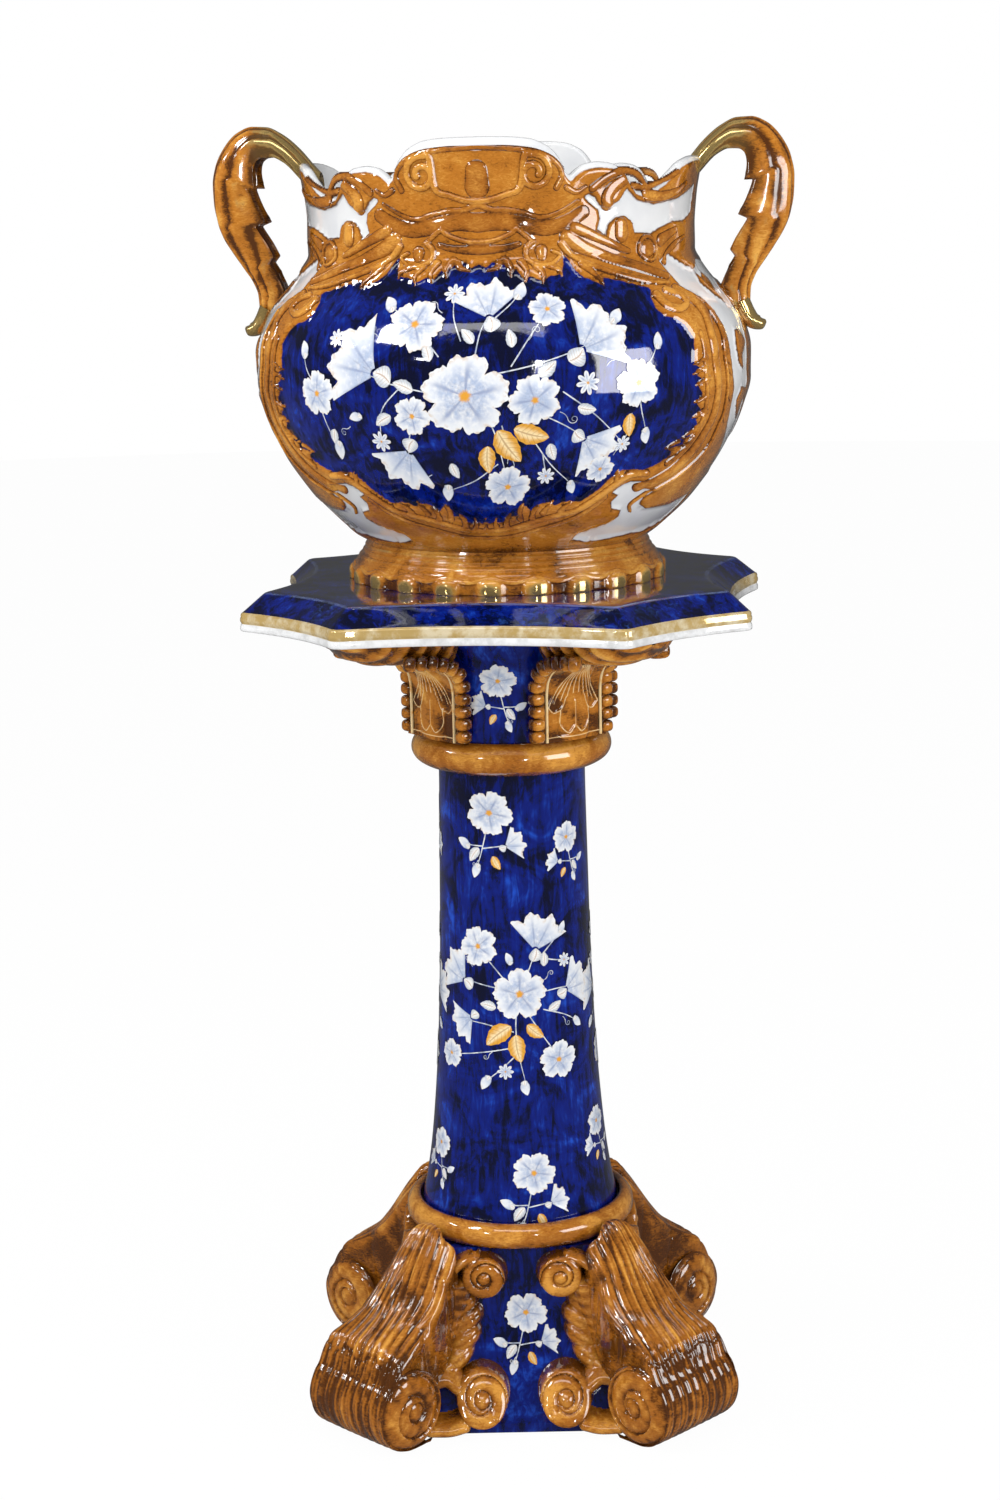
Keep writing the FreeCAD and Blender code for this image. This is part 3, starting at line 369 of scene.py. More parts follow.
class Effects:
    """Node groups that several finishes share, each made once."""

    made: dict = {}

    @classmethod
    def tree(cls, name: str, takes: dict, gives: dict, draw) -> bpy.types.NodeTree:
        """Make or find a group.

        Args:
            name: The group's name.
            takes: Names and default values of its inputs.
            gives: Names and kinds of its outputs.
            draw: Function that fills it, given a Paint and the input node, and returns the outputs' sockets.

        Returns:
            The group's tree.
        """
        if name not in cls.made:
            group = bpy.data.node_groups.new(name, "ShaderNodeTree")
            for label, value in takes.items():
                kind = "NodeSocketColor" if isinstance(value, tuple) else "NodeSocketFloat"
                socket = group.interface.new_socket(label, in_out="INPUT", socket_type=kind)
                socket.default_value = (*value, 1.0) if isinstance(value, tuple) else value
            for label, kind in gives.items():
                group.interface.new_socket(label, in_out="OUTPUT", socket_type="NodeSocket" + kind)
            paint = Paint(name, group)
            begin, end = group.nodes.new("NodeGroupInput"), group.nodes.new("NodeGroupOutput")
            for label, socket in draw(paint, begin).items():
                group.links.new(socket, end.inputs[label])
            cls.made[name] = group
        return cls.made[name]

    @classmethod
    def pooled(cls) -> bpy.types.NodeTree:
        """Glaze that has run thin on crests and pooled in hollows, streaked by the brush and flecked; its pale crests
        are partly a painted highlight and its dark hollows partly painted shade.
        """

        def draw(paint: Paint, begin: bpy.types.Node) -> dict:
            """Wire the group."""
            relief = begin.outputs["Relief"]
            cloud = paint.noise(21, 4, 0.6, 0.8)
            streaks = paint.noise(1, 5, 0.7, 2.2, paint.place((130, 130, 330)))
            level = paint.sum("ADD", relief, paint.sum("MULTIPLY", paint.sum("SUBTRACT", cloud, 0.5),
                                                       begin.outputs["Cloud"]))
            level = paint.sum("ADD", level, paint.sum("MULTIPLY", paint.sum("SUBTRACT", streaks, 0.5), 1.3))
            # painted shade as well as pooled glaze: the Hollow colour where relief is low
            body = paint.blend(paint.step(level, -0.05, 0.48), begin.outputs["Hollow"], begin.outputs["Body"])
            # painted highlight as well as thin glaze: the Crest colour where relief is high
            body = paint.blend(paint.step(level, 0.42, 1.05), body, begin.outputs["Crest"])
            flecks = paint.step(paint.noise(620, 2, 0.5), 0.64, 0.74)
            patches = paint.step(paint.noise(55, 2), 0.42, 0.62)
            flecks = paint.sum("MULTIPLY", paint.sum("MULTIPLY", flecks, patches), 0.6)
            return {"Color": paint.blend(flecks, body, begin.outputs["Fleck"]), "Level": level}

        return cls.tree("pooled_glaze_and_painted_light", {"Relief": 0.5, "Cloud": 2.2, "Hollow": (0, 0, 0), "Body": (1, 1, 1), "Crest": (1, 1, 1),
                                         "Fleck": (0, 0, 0)}, {"Color": "Color", "Level": "Float"}, draw)

    @classmethod
    def mottled(cls) -> bpy.types.NodeTree:
        """Deep glaze laid on with a wide brush: soft overlapping clouds, darker where it pooled."""

        def draw(paint: Paint, begin: bpy.types.Node) -> dict:
            """Wire the group."""
            clouds = paint.noise(22, 4, 0.65, 1.2)
            strokes = paint.noise(1, 4, 0.62, 1.0, paint.place((150, 150, 26)))
            level = paint.sum("ADD", paint.sum("MULTIPLY", clouds, 0.80), paint.sum("MULTIPLY", strokes, 0.55))
            level = paint.sum("SUBTRACT", level, 0.13)
            level = paint.sum("ADD", level, begin.outputs["Lift"])
            color = paint.blend(paint.step(level, 0.40, 0.58), begin.outputs["Deep"], begin.outputs["Body"])
            color = paint.blend(paint.step(level, 0.56, 0.80), color, begin.outputs["Thin"])
            return {"Color": color, "Level": level}

        return cls.tree("mottled_glaze", {"Lift": 0.0, "Deep": (0, 0, 0), "Body": (0, 0, 1), "Thin": (0, 0, 1)},
                        {"Color": "Color", "Level": "Float"}, draw)

    @classmethod
    def fired(cls) -> bpy.types.NodeTree:
        """The surface of a fired glaze: a faint orange peel, and dull spots where it is worn."""

        def draw(paint: Paint, begin: bpy.types.Node) -> dict:
            """Wire the group."""
            peel = paint.noise(240, 2, 0.5)
            waves = paint.noise(38, 2, 0.4)
            normal = paint.bump(waves, 0.0011, 0.55)
            normal = paint.bump(peel, 0.00016, 0.5, normal)
            wear = paint.step(paint.noise(90, 5, 0.7), 0.62, 0.80)
            rough = paint.sum("ADD", begin.outputs["Gloss"], paint.sum("MULTIPLY", wear, 0.14))
            return {"Normal": normal, "Roughness": rough}

        return cls.tree("fired_surface", {"Gloss": 0.1}, {"Normal": "Vector", "Roughness": "Float"}, draw)


# Crest is the pale colour on crests, thin glaze plus painted highlight; Hollow is the dark colour in hollows, pooled
# glaze plus painted shade
AMBER = {"Hollow": (0.070, 0.020, 0.002), "Body": (0.40, 0.140, 0.013), "Crest": (0.66, 0.33, 0.060),
         "Fleck": (0.10, 0.030, 0.005)}
BROWN = {**AMBER, "Body": (0.31, 0.102, 0.010), "Crest": (0.60, 0.275, 0.045)}
COBALT = {"Deep": (0.0006, 0.0016, 0.016), "Body": (0.0014, 0.0085, 0.145), "Thin": (0.010, 0.065, 0.46)}
MILK = (0.68, 0.685, 0.69)


@dataclass(frozen=True)
class Finish:
    """A finish that makes its material once."""

    name: str
    cache = {}

    def material(self) -> bpy.types.Material:
        """Make or find the material."""
        if self.name not in Finish.cache:
            Finish.cache[self.name] = self.paint()
        return Finish.cache[self.name]

    def paint(self) -> bpy.types.Material:
        """Wire the material; each kind of finish has its own."""
        raise NotImplementedError

    def glazed(self, paint: Paint, color: bpy.types.NodeSocket, gloss: float = 0.09) -> bpy.types.Material:
        """Close a material as glossy glaze over its colour.

        Args:
            paint: The material's nodes.
            color: Its colour.
            gloss: Roughness where nothing is worn.

        Returns:
            The material.
        """
        surface = paint.group(Effects.fired(), Gloss=gloss)
        paint.join(paint.shader.inputs["Base Color"], color)
        paint.join(paint.shader.inputs["Roughness"], surface.outputs["Roughness"])
        paint.join(paint.shader.inputs["Normal"], surface.outputs["Normal"])
        paint.join(paint.shader.inputs["IOR"], 1.52)
        paint.join(paint.shader.inputs["Coat Weight"], 1.0)
        paint.join(paint.shader.inputs["Coat Roughness"], 0.03)
        return paint.made


@dataclass(frozen=True)
class AmberGlaze(Finish):
    """Streaky amber-brown lead glaze, dark in the hollows and pale on the crests, which a mark named relief gives; the
    dark is partly painted shade and the pale partly a painted highlight.
    """

    name: str = "amber_glaze"
    level: float = -1.0

    def paint(self) -> bpy.types.Material:
        """Wire the material."""
        paint = Paint(self.name)
        relief = paint.mark("relief") if self.level < 0 else self.level
        color = paint.group(Effects.pooled(), Relief=relief, **BROWN).outputs["Color"]
        return self.glazed(paint, color)


@dataclass(frozen=True)
class CobaltGlaze(Finish):
    """Deep mottled blue glaze."""

    name: str = "cobalt_glaze"
    lift: float = 0.0

    def paint(self) -> bpy.types.Material:
        """Wire the material."""
        paint = Paint(self.name)
        color = paint.group(Effects.mottled(), Lift=self.lift, **COBALT).outputs["Color"]
        return self.glazed(paint, color, 0.07)


@dataclass(frozen=True)
class BowlGlaze(Finish):
    """The bowl's three glazes: blue inside the panels, milk white patches, and amber over the rest."""

    name: str = "bowl_glaze"

    def paint(self) -> bpy.types.Material:
        """Wire the material; marks hold the distances in millimetres inside each area."""
        paint = Paint(self.name)
        blue, white, lip = paint.mark("blue"), paint.mark("white"), paint.mark("lip")
        ragged = paint.sum("MULTIPLY", paint.sum("SUBTRACT", paint.noise(150, 3, 0.6), 0.5), 1.6)
        amber = paint.group(Effects.pooled(), Relief=paint.mark("relief"), Cloud=1.3, **AMBER).outputs["Color"]
        cobalt = paint.group(Effects.mottled(), Lift=-0.045, **COBALT).outputs["Color"]
        pale = paint.blend(paint.step(paint.noise(34, 3), 0.35, 0.75), MILK, (0.60, 0.61, 0.63))
        edge = paint.sum("ADD", white, ragged)
        color = paint.blend(paint.step(edge, -0.5, 0.4), amber, pale)
        border = paint.sum("MULTIPLY", paint.step(edge, -1.7, -0.3), paint.step(edge, 0.7, -0.3))
        color = paint.blend(paint.sum("MULTIPLY", border, 0.65), color, AMBER["Hollow"])
        blue_edge = paint.sum("ADD", blue, paint.sum("MULTIPLY", ragged, 0.5))
        color = paint.blend(paint.step(blue_edge, -0.3, 0.3), color, cobalt)
        top = paint.sum("ADD", lip, ragged)
        color = paint.blend(paint.step(top, -0.6, 0.6), color, pale)
        return self.glazed(paint, color, 0.07)


@dataclass(frozen=True)
class GiltGlaze(Finish):
    """Worn gilding over amber glaze; a mark named gilt says where, and relief brings it out on the crests."""

    name: str = "gilt_glaze"

    def paint(self) -> bpy.types.Material:
        """Wire the material."""
        paint = Paint(self.name)
        pooled = paint.group(Effects.pooled(), Relief=paint.mark("relief"), **AMBER)
        gilt = paint.mark("gilt")
        olive = paint.sum("MULTIPLY", paint.step(gilt, 0.2, 0.8), 0.72)
        under = paint.blend(olive, pooled.outputs["Color"], (0.085, 0.052, 0.016))
        worn = paint.noise(44, 5, 0.66, 0.4)
        level = paint.sum("ADD", paint.sum("ADD", paint.mark("relief"), worn), paint.sum("MULTIPLY", gilt, 0.62))
        gold = paint.step(level, 1.28, 1.62)
        color = paint.blend(gold, under, (0.66, 0.46, 0.16))
        made = self.glazed(paint, color, 0.13)
        paint.join(paint.shader.inputs["Metallic"], paint.sum("MULTIPLY", gold, 0.8))
        return made


@dataclass(frozen=True)
class Petal(Finish):
    """White and pale blue painted petals with fine brown veins."""

    name: str = "petal_enamel"

    def paint(self) -> bpy.types.Material:
        """Wire the material; marks give the way out from the flower's heart and the way across a petal."""
        paint = Paint(self.name)
        radial, rib, tone = paint.mark("radial"), paint.mark("rib"), paint.mark("tone")
        wash = paint.sum("ADD", paint.noise(210, 3, 0.6), paint.sum("MULTIPLY", tone, 0.25))
        shade = paint.sum("MULTIPLY", paint.step(wash, 0.35, 0.75), paint.step(radial, 1.0, 0.45))
        color = paint.blend(paint.sum("MULTIPLY", shade, 0.85), (0.70, 0.71, 0.72), (0.32, 0.40, 0.57))
        fold = paint.sum("MULTIPLY", paint.step(rib, 0.72, 1.0), paint.step(radial, 1.02, 0.5))
        color = paint.blend(paint.sum("MULTIPLY", fold, 0.75), color, (0.22, 0.27, 0.42))
        rays = paint.node("ShaderNodeTexWave", {"Scale": 1.0, "Distortion": 0.0, "Vector": paint.node(
            "ShaderNodeCombineXYZ", {0: paint.sum("MULTIPLY", rib, 7.0)}).outputs[0]}, wave_profile="SIN")
        lines = paint.step(paint.sum("ADD", rays.outputs["Fac"], paint.noise(500, 2)), 1.28, 1.5)
        lines = paint.sum("MULTIPLY", lines, paint.step(radial, 0.85, 0.2))
        color = paint.blend(paint.sum("MULTIPLY", lines, 0.55), color, (0.16, 0.13, 0.15))
        warm = paint.sum("MULTIPLY", paint.step(radial, 0.84, 1.0), paint.step(paint.noise(260, 3), 0.48, 0.60))
        color = paint.blend(paint.sum("MULTIPLY", warm, 0.55), color, (0.52, 0.36, 0.22))
        heart = paint.step(paint.sum("ADD", radial, paint.sum("MULTIPLY", paint.noise(700, 2), 0.10)), 0.24, 0.13)
        color = paint.blend(heart, color, (0.62, 0.29, 0.035))
        return self.glazed(paint, color, 0.12)


@dataclass(frozen=True)
class Leaf(Finish):
    """Painted leaves: ochre at the edges, pale along the middle, with fine brown ribs."""

    name: str = "leaf_enamel"

    def paint(self) -> bpy.types.Material:
        """Wire the material; marks give the way across a leaf, along it, and whether it is ochre or pale."""
        paint = Paint(self.name)
        rib, radial, tone = paint.mark("rib"), paint.mark("radial"), paint.mark("tone")
        wash = paint.sum("ADD", rib, paint.sum("MULTIPLY", paint.noise(240, 3), 0.8))
        ochre = paint.blend(paint.step(wash, 0.45, 1.2), (0.78, 0.63, 0.36), (0.62, 0.30, 0.035))
        pale = paint.blend(paint.step(wash, 0.5, 1.3), (0.76, 0.76, 0.74), (0.46, 0.50, 0.55))
        color = paint.blend(paint.step(tone, 0.45, 0.55), pale, ochre)
        side = paint.node("ShaderNodeTexWave", {"Scale": 1.0, "Distortion": 0.0, "Vector": paint.node(
            "ShaderNodeCombineXYZ", {0: paint.sum("ADD", paint.sum("MULTIPLY", radial, 2.2),
                                                  paint.sum("MULTIPLY", rib, -0.45))}).outputs[0]})
        line = paint.sum("MAXIMUM", paint.step(side.outputs["Fac"], 0.93, 1.0), paint.step(rib, 0.13, 0.03))
        color = paint.blend(paint.sum("MULTIPLY", line, 0.6), color, (0.30, 0.12, 0.02))
        return self.glazed(paint, color, 0.12)


@dataclass(frozen=True)
class Line(Finish):
    """Thin painted stems and tendrils in greyish white."""

    name: str = "stem_enamel"

    def paint(self) -> bpy.types.Material:
        """Wire the material."""
        paint = Paint(self.name)
        color = paint.blend(paint.step(paint.noise(160, 3), 0.4, 0.65), (0.62, 0.64, 0.66), (0.30, 0.34, 0.42))
        return self.glazed(paint, color, 0.14)


# ---------------------------------------------------------------- skins that ornament lies on

@dataclass(frozen=True)
class TurnedSkin:
    """A surface of revolution, smooth through given radii at given heights over its base."""

    base: float
    heights: tuple
    radii: tuple
    turn: float = 0.0

    def radius(self, up: np.ndarray) -> np.ndarray:
        """Read the radius at heights over the base."""
        return smooth_curve(np.array(self.heights, float), np.array(self.radii, float), np.asarray(up, float))

    def place(self, angle: np.ndarray, up: np.ndarray, lift: np.ndarray = 0.0) -> np.ndarray:
        """Find places on the skin.

        Args:
            angle: Degrees round the axis from the front.
            up: Heights over the base in millimetres.
            lift: How far the places lie off the skin along its normal, in millimetres.

        Returns:
            Places in metres, one row each.
        """
        angle, up, lift = np.broadcast_arrays(np.asarray(angle, float), np.asarray(up, float),
                                              np.asarray(lift, float))
        radius = self.radius(up)
        slope = (self.radius(up + 0.5) - self.radius(up - 0.5))
        tilt = np.sqrt(1 + slope ** 2)
        out = (radius + lift / tilt) * MM
        heading = np.radians(angle + self.turn)
        return np.stack([out * np.sin(heading), -out * np.cos(heading),
                         (self.base + up - lift * slope / tilt) * MM], -1).reshape(-1, 3)

    def rise(self, up: np.ndarray) -> np.ndarray:
        """Length of the outline from the skin's lower edge to heights, in millimetres."""
        table = np.linspace(self.heights[0], self.heights[-1], 1200)
        length = np.concatenate([[0], np.cumsum(np.hypot(np.diff(table), np.diff(self.radius(table))))])
        return np.interp(up, table, length)

    def level(self, rise: np.ndarray) -> np.ndarray:
        """Heights at lengths along the outline; the inverse of rise."""
        table = np.linspace(self.heights[0], self.heights[-1], 1200)
        return np.interp(rise, self.rise(table), table)

    def patch(self, centre: tuple, across: np.ndarray, along: np.ndarray, lift: np.ndarray = 0.0) -> np.ndarray:
        """Lay flat drawing coordinates on the skin round a centre.

        Args:
            centre: Angle and height of the drawing's origin.
            across: Millimetres to the right on the skin.
            along: Millimetres up the skin.
            lift: Millimetres off the skin.

        Returns:
            Places in metres, one row each.
        """
        reach = float(self.radius(centre[1]))
        up = self.level(self.rise(centre[1]) + np.asarray(along, float))
        return self.place(centre[0] + np.degrees(np.asarray(across, float) / reach), up, lift)


@dataclass(frozen=True)
class Roll:
    """A rounded ridge of relief along a line, in degrees and millimetres on a skin."""

    line: tuple
    half: float
    rise: float
    tail: float = 1.0
    flowing: bool = True


@dataclass(frozen=True)
class Carving:
    """Relief on a turned skin: many rolls, highest wins, over a plain ground."""

    skin: TurnedSkin
    rolls: tuple

    def height(self, angle: np.ndarray, up: np.ndarray) -> np.ndarray:
        """Read the relief over the ground.

        Args:
            angle: Degrees from the drawing's middle line.
            up: Heights over the skin's base.

        Returns:
            Millimetres over the skin; below zero beside the rolls. A roll's section is a half ellipse.
        """
        reach = self.skin.radius(up)
        rise = self.skin.rise(up)
        across = np.radians(angle) * reach
        result = np.full(angle.shape, -4.0)
        for roll in self.rolls:
            corners = flowing_line(roll.line) if roll.flowing else np.asarray(roll.line, float)
            middle = self.skin.radius(corners[:, 1])
            drawn = np.stack([np.radians(corners[:, 0]) * middle, self.skin.rise(corners[:, 1])], -1)
            margin = roll.half + 3
            low, high = drawn.min(0) - margin, drawn.max(0) + margin
            near = (across > low[0]) & (across < high[0]) & (rise > low[1]) & (rise < high[1])
            if not near.any():
                continue
            gap, share = distance_along(across[near], rise[near], drawn)
            half = 1.12 * roll.half * (1 + (roll.tail - 1) * share)
            relative = gap / np.maximum(half, 0.05)
            swell = np.where(relative < 1, np.sqrt(np.clip(1 - relative ** 2, 0, 1)),
                             -(gap - half) / 2.5) * 0.72 * roll.rise * (0.35 + 0.65 * half / roll.half)
            swell = np.where(relative < 1, swell, -(gap - half) * 0.8)
            result[near] = np.maximum(result[near], swell)
        return result

    def mesh(self, cloth: Cloth, angles: np.ndarray, ups: np.ndarray, turn: float, ground) -> None:
        """Add the carved parts of a window on the skin to a piece.

        Args:
            cloth: The piece being put together.
            angles: The window's columns in degrees from the drawing's middle line.
            ups: The window's rows.
            turn: Where the drawing's middle line lies, in degrees.
            ground: Function that gives the ground's own height over the skin, at angles and heights.
        """
        angle, up = np.meshgrid(angles, ups)
        height = self.height(-np.abs(angle), up)
        places = self.skin.place(angle + turn, up, np.clip(height, -0.6, 9) + ground(angle, up))
        faces = grid_faces(len(ups), len(angles))
        flat = height.ravel()
        shown = flat[faces].max(1) > -0.3
        faces = faces[shown]
        used, faces = np.unique(faces, return_inverse=True)
        tallest = max(roll.rise for roll in self.rolls)
        relief = -0.26 + 0.98 * np.sqrt(np.clip(flat / (0.55 * tallest), 0, 1))
        cloth.add(places[used], faces.reshape(-1, 4), relief=relief[used])


# ---------------------------------------------------------------- drawings of the pot's ornament

# half of each drawing, in degrees from the panel's middle line and millimetres over the slab
PANEL_EDGE = (
    (0.0, 264), (-2.1, 260.6), (-3.7, 265.5), (-7.5, 263.3), (-8.5, 255.3), (-9.9, 259.9), (-12.1, 251.4),
    (-13.6, 254.9), (-16.5, 250.4), (-18.8, 253.8), (-22.2, 255.6), (-23.2, 262.5), (-23.4, 271), (-24.4, 268),
    (-26.0, 258.6), (-27.6, 253.0), (-32.9, 245.4), (-33.2, 251.8), (-39.9, 247.1), (-46.6, 241.7),
    (-44.9, 235.5), (-44.7, 226.5), (-46.7, 220.6), (-49.3, 219.5), (-52.0, 213.3), (-53.7, 202.7),
    (-53.1, 193.8), (-52.8, 183.0), (-55.9, 178.8), (-52.9, 175.4), (-55.9, 170.9), (-54.1, 166.5),
    (-56.5, 158.3), (-54.3, 153.0), (-57.9, 144.1), (-55.3, 140.6), (-57.6, 133.1), (-56.5, 126.3),
    (-53.4, 124.5), (-54.6, 119.1), (-48.7, 117.4), (-51.6, 112.3), (-47.2, 105.1), (-43.3, 101.2),
    (-36.3, 102.9), (-34.1, 97.8), (-31.0, 87.0), (-26.8, 77.7), (-23.7, 80.2), (-19.5, 76.3), (-18.2, 79.6),
    (-14.8, 77.4), (-13.5, 71.4), (-10.6, 79.0), (-9.4, 68.2), (-7.7, 68.4), (-4.7, 61.6), (-3.0, 64.2),
    (-1.4, 61.4), (0.0, 63.4))
NECK_MILK = (
    (-82.0, 322.6), (-67.3, 311.3), (-55.1, 307.2), (-48.0, 310.5), (-43.6, 319.9), (-41.5, 311.4),
    (-37.6, 305.4), (-34.8, 307.3), (-33.2, 313.9), (-31.2, 316.5), (-29.8, 314.5), (-31.2, 310.5),
    (-34.3, 304.6), (-35.1, 296.6), (-34.1, 289.3), (-36.8, 283.9), (-37.7, 292.6), (-40.1, 298.4),
    (-43.4, 299.1), (-46.3, 294.0), (-47.1, 285.9), (-53.7, 284.8), (-58.2, 289.2), (-64.5, 293.5),
    (-72.3, 293.8), (-80.2, 300.2))
LOW_MILK = (
    (-47.3, 91.0), (-40.4, 92.5), (-37.5, 88.8), (-36.1, 84.1), (-38.4, 81.5), (-36.9, 76.1), (-38.2, 70.1),
    (-42.1, 67.9), (-42.7, 61.7), (-39.8, 56.3), (-34.1, 52.0), (-30.3, 48.8), (-29.3, 43.9), (-38.1, 40.8),
    (-48.0, 42.4), (-63.8, 44.1), (-74.2, 49.3), (-76.2, 61.0), (-76.7, 73.1), (-62.9, 66.0), (-53.2, 65.7),
    (-48.3, 71.2), (-48.1, 78.0), (-52.1, 81.4), (-47.0, 85.4))
SIDE_MILK = (
    (-55.5, 262.0), (-57.5, 250.0), (-58.5, 240.0), (-63.6, 232.5), (-66.0, 223.4), (-67.3, 211.4),
    (-67.7, 196.8), (-69.0, 176.3), (-70.5, 160.8), (-71.5, 146.7), (-73.0, 133.4), (-77.5, 118.7),
    (-79.7, 104.5), (-82.0, 92.0), (-90.0, 86.0), (-98.0, 92.0), (-98.0, 258.0), (-80.0, 262.0), (-72.0, 254.0),
    (-66.0, 259.0), (-61.0, 268.0))
SIDE_FLAMES = (
    ((-71.0, 252.0), (-69.5, 243.0), (-73.0, 232.0), (-76.5, 226.0), (-75.5, 236.0), (-79.0, 246.0),
     (-76.0, 252.0), (-73.0, 247.0)),
    ((-73.5, 206.0), (-71.5, 194.0), (-73.5, 180.0), (-77.5, 172.0), (-76.5, 186.0), (-80.5, 196.0),
     (-76.5, 206.0)),
    ((-76.5, 160.0), (-75.0, 148.0), (-79.0, 136.0), (-83.0, 130.0), (-81.5, 144.0), (-85.0, 156.0)),
    ((-83.5, 240.0), (-82.0, 222.0), (-85.5, 206.0), (-87.5, 222.0), (-91.0, 236.0), (-87.0, 246.0)),
    ((-84.5, 190.0), (-83.0, 172.0), (-86.5, 160.0), (-88.0, 174.0), (-92.0, 186.0)))


def both_sides(half: tuple) -> np.ndarray:
    """Close a half outline that begins and ends on the middle line with its mirror image."""
    left = np.array(half, float)
    right = left[::-1] * [-1, 1]
    return np.vstack([left, right[1:-1]])


def neck_rolls() -> tuple:
    """Rolls of relief on the left half of a neck: shell, scrolls, bosses and leaves.

    Returns:
        The rolls. The middle line is the shell's, where the halves meet.
    """
    def roll(points: list, half: float, rise: float, tail: float = 1.0) -> Roll:
        return Roll(tuple(points), half, rise, tail)

    def swirl(angle: float, up: float, start: float, end: float, begin: float, sweep: float) -> list:
        """A curl whose circles are true on the neck, where a degree is 2.85 mm."""
        return [(angle + across / 2.85, up + along) for across, along in curl((0, 0), start, end, begin, sweep, 26)]

    leaf_tips = ((-2.3, 259.5, -5.6, 263.0), (-8.6, 254.6, -7.0, 265.5), (-12.3, 250.8, -11.5, 263.0),
                 (-16.8, 249.6, -15.5, 260.0), (-22.2, 254.6, -19.5, 259.5))
    rolls = [
        # curled ends of the shell's upper edge, either side of its hollow
        roll(swirl(-15.2, 334, 4.0, 14.5, 200, -500) + [(-11.5, 323), (-7.5, 317.5), (-3.5, 313.8), (0, 312.6)],
             2.6, 3.2, 0.9),
        roll([(-21.5, 322), (-23.0, 333), (-20.5, 343), (-15.5, 349.5), (-8, 352.5), (0, 353.5)], 2.2, 1.8, 0.8),
        # the shell's boss, and a crescent beside it
        roll([(0, 324), (0, 336)], 8.5, 1.8, 0.9),
        # long crescent under the shell
        roll([(0, 310.2), (-4, 306.4), (-8, 306), (-13, 303.2), (-17.5, 299.8), (-22.5, 303.5), (-28, 312)],
             2.2, 2.0, 0.6),
        roll([(0, 296.5), (-6, 297.3), (-12, 294.5), (-19, 291.5), (-25, 296), (-29.5, 303)], 7.0, 1.6, 0.7),
        # bow under it, whose ends turn up
        roll([(0, 281.5), (-3.2, 282), (-6.5, 284.6), (-9.2, 288.2), (-10.4, 291), (-12.2, 287.5), (-14.9, 281)],
             1.9, 2.8, 0.9),
        roll([(0, 275.5), (-4, 275.8), (-8, 277.2), (-11, 279.5)], 3.6, 1.8, 0.6),
        # curl at the end of the bow
        roll([(-14.9, 281), (-13.1, 276.5), (-12.9, 270.4), (-13.9, 264.4), (-16.9, 261.1), (-20.3, 263.0),
              (-22.6, 270.0), (-20.5, 273.5)], 2.2, 3.4, 0.7),
        roll([(-17.2, 274), (-17.3, 268.5)], 4.6, 2.2, 0.8),
        # long leaf that falls from the horn to the panel's corner
        roll([(-22.9, 279), (-25.0, 272), (-28.2, 264), (-33.5, 257.5), (-40, 251.0), (-47, 246.0), (-53.2, 244)],
             2.6, 3.0, 0.7),
        roll([(-24.5, 284), (-29, 276), (-35, 268.5), (-42, 261.5), (-49, 255), (-54.5, 250)], 5.4, 2.4, 0.7),
        roll([(-27.0, 291), (-33, 284), (-39, 277.0), (-44.2, 271.2)], 4.2, 2.6, 0.6),
        roll([(-28.3, 261.5), (-30.6, 255), (-32.9, 246.6)], 3.0, 2.2, 0.3),
        # boss with its rim, and lobes round it
        roll([(-51.5, 271.8), (-51.4, 272.6)], 7.4, 3.0),
        roll(swirl(-51.5, 272.3, 10.2, 10.2, 0, 360), 1.5, 3.0),
        roll([(-41.9, 285), (-41.8, 292)], 6.0, 2.6, 0.9),
        roll([(-57.5, 279), (-62, 283.5), (-66, 286.5)], 4.6, 2.2, 0.6),
        roll([(-58.2, 262), (-61.5, 270), (-66.5, 277), (-72, 281)], 3.2, 2.0, 0.5),
        # frond over the milk-white patch, up to the rim
        roll([(-37.2, 308.6), (-36.8, 314), (-38.6, 321), (-42, 327)], 5.0, 2.6, 0.8),
        roll([(-32, 321), (-36, 328.5), (-41, 333.5), (-47, 331), (-51, 322)], 3.0, 2.0, 0.7),
        roll([(-51.5, 314.5), (-57.5, 313.5), (-65, 316.5), (-71.5, 323)], 4.4, 2.4, 0.6),
        roll([(-24.5, 322.0), (-27.2, 318.5), (-30.0, 322.5)], 2.4, 1.8, 0.6),
        roll([(-45.5, 322), (-52, 321.0), (-60, 326.5), (-66, 333)], 2.2, 1.6, 0.6),
    ]
    for tip_angle, tip_up, root_angle, root_up in leaf_tips:
        middle = ((tip_angle + root_angle) / 2 - 0.9, (tip_up + root_up) / 2 + 0.4)
        rolls.append(roll([(root_angle, root_up + 1.5), middle, (tip_angle, tip_up)], 3.2, 2.2, 0.28))
    return tuple(rolls)


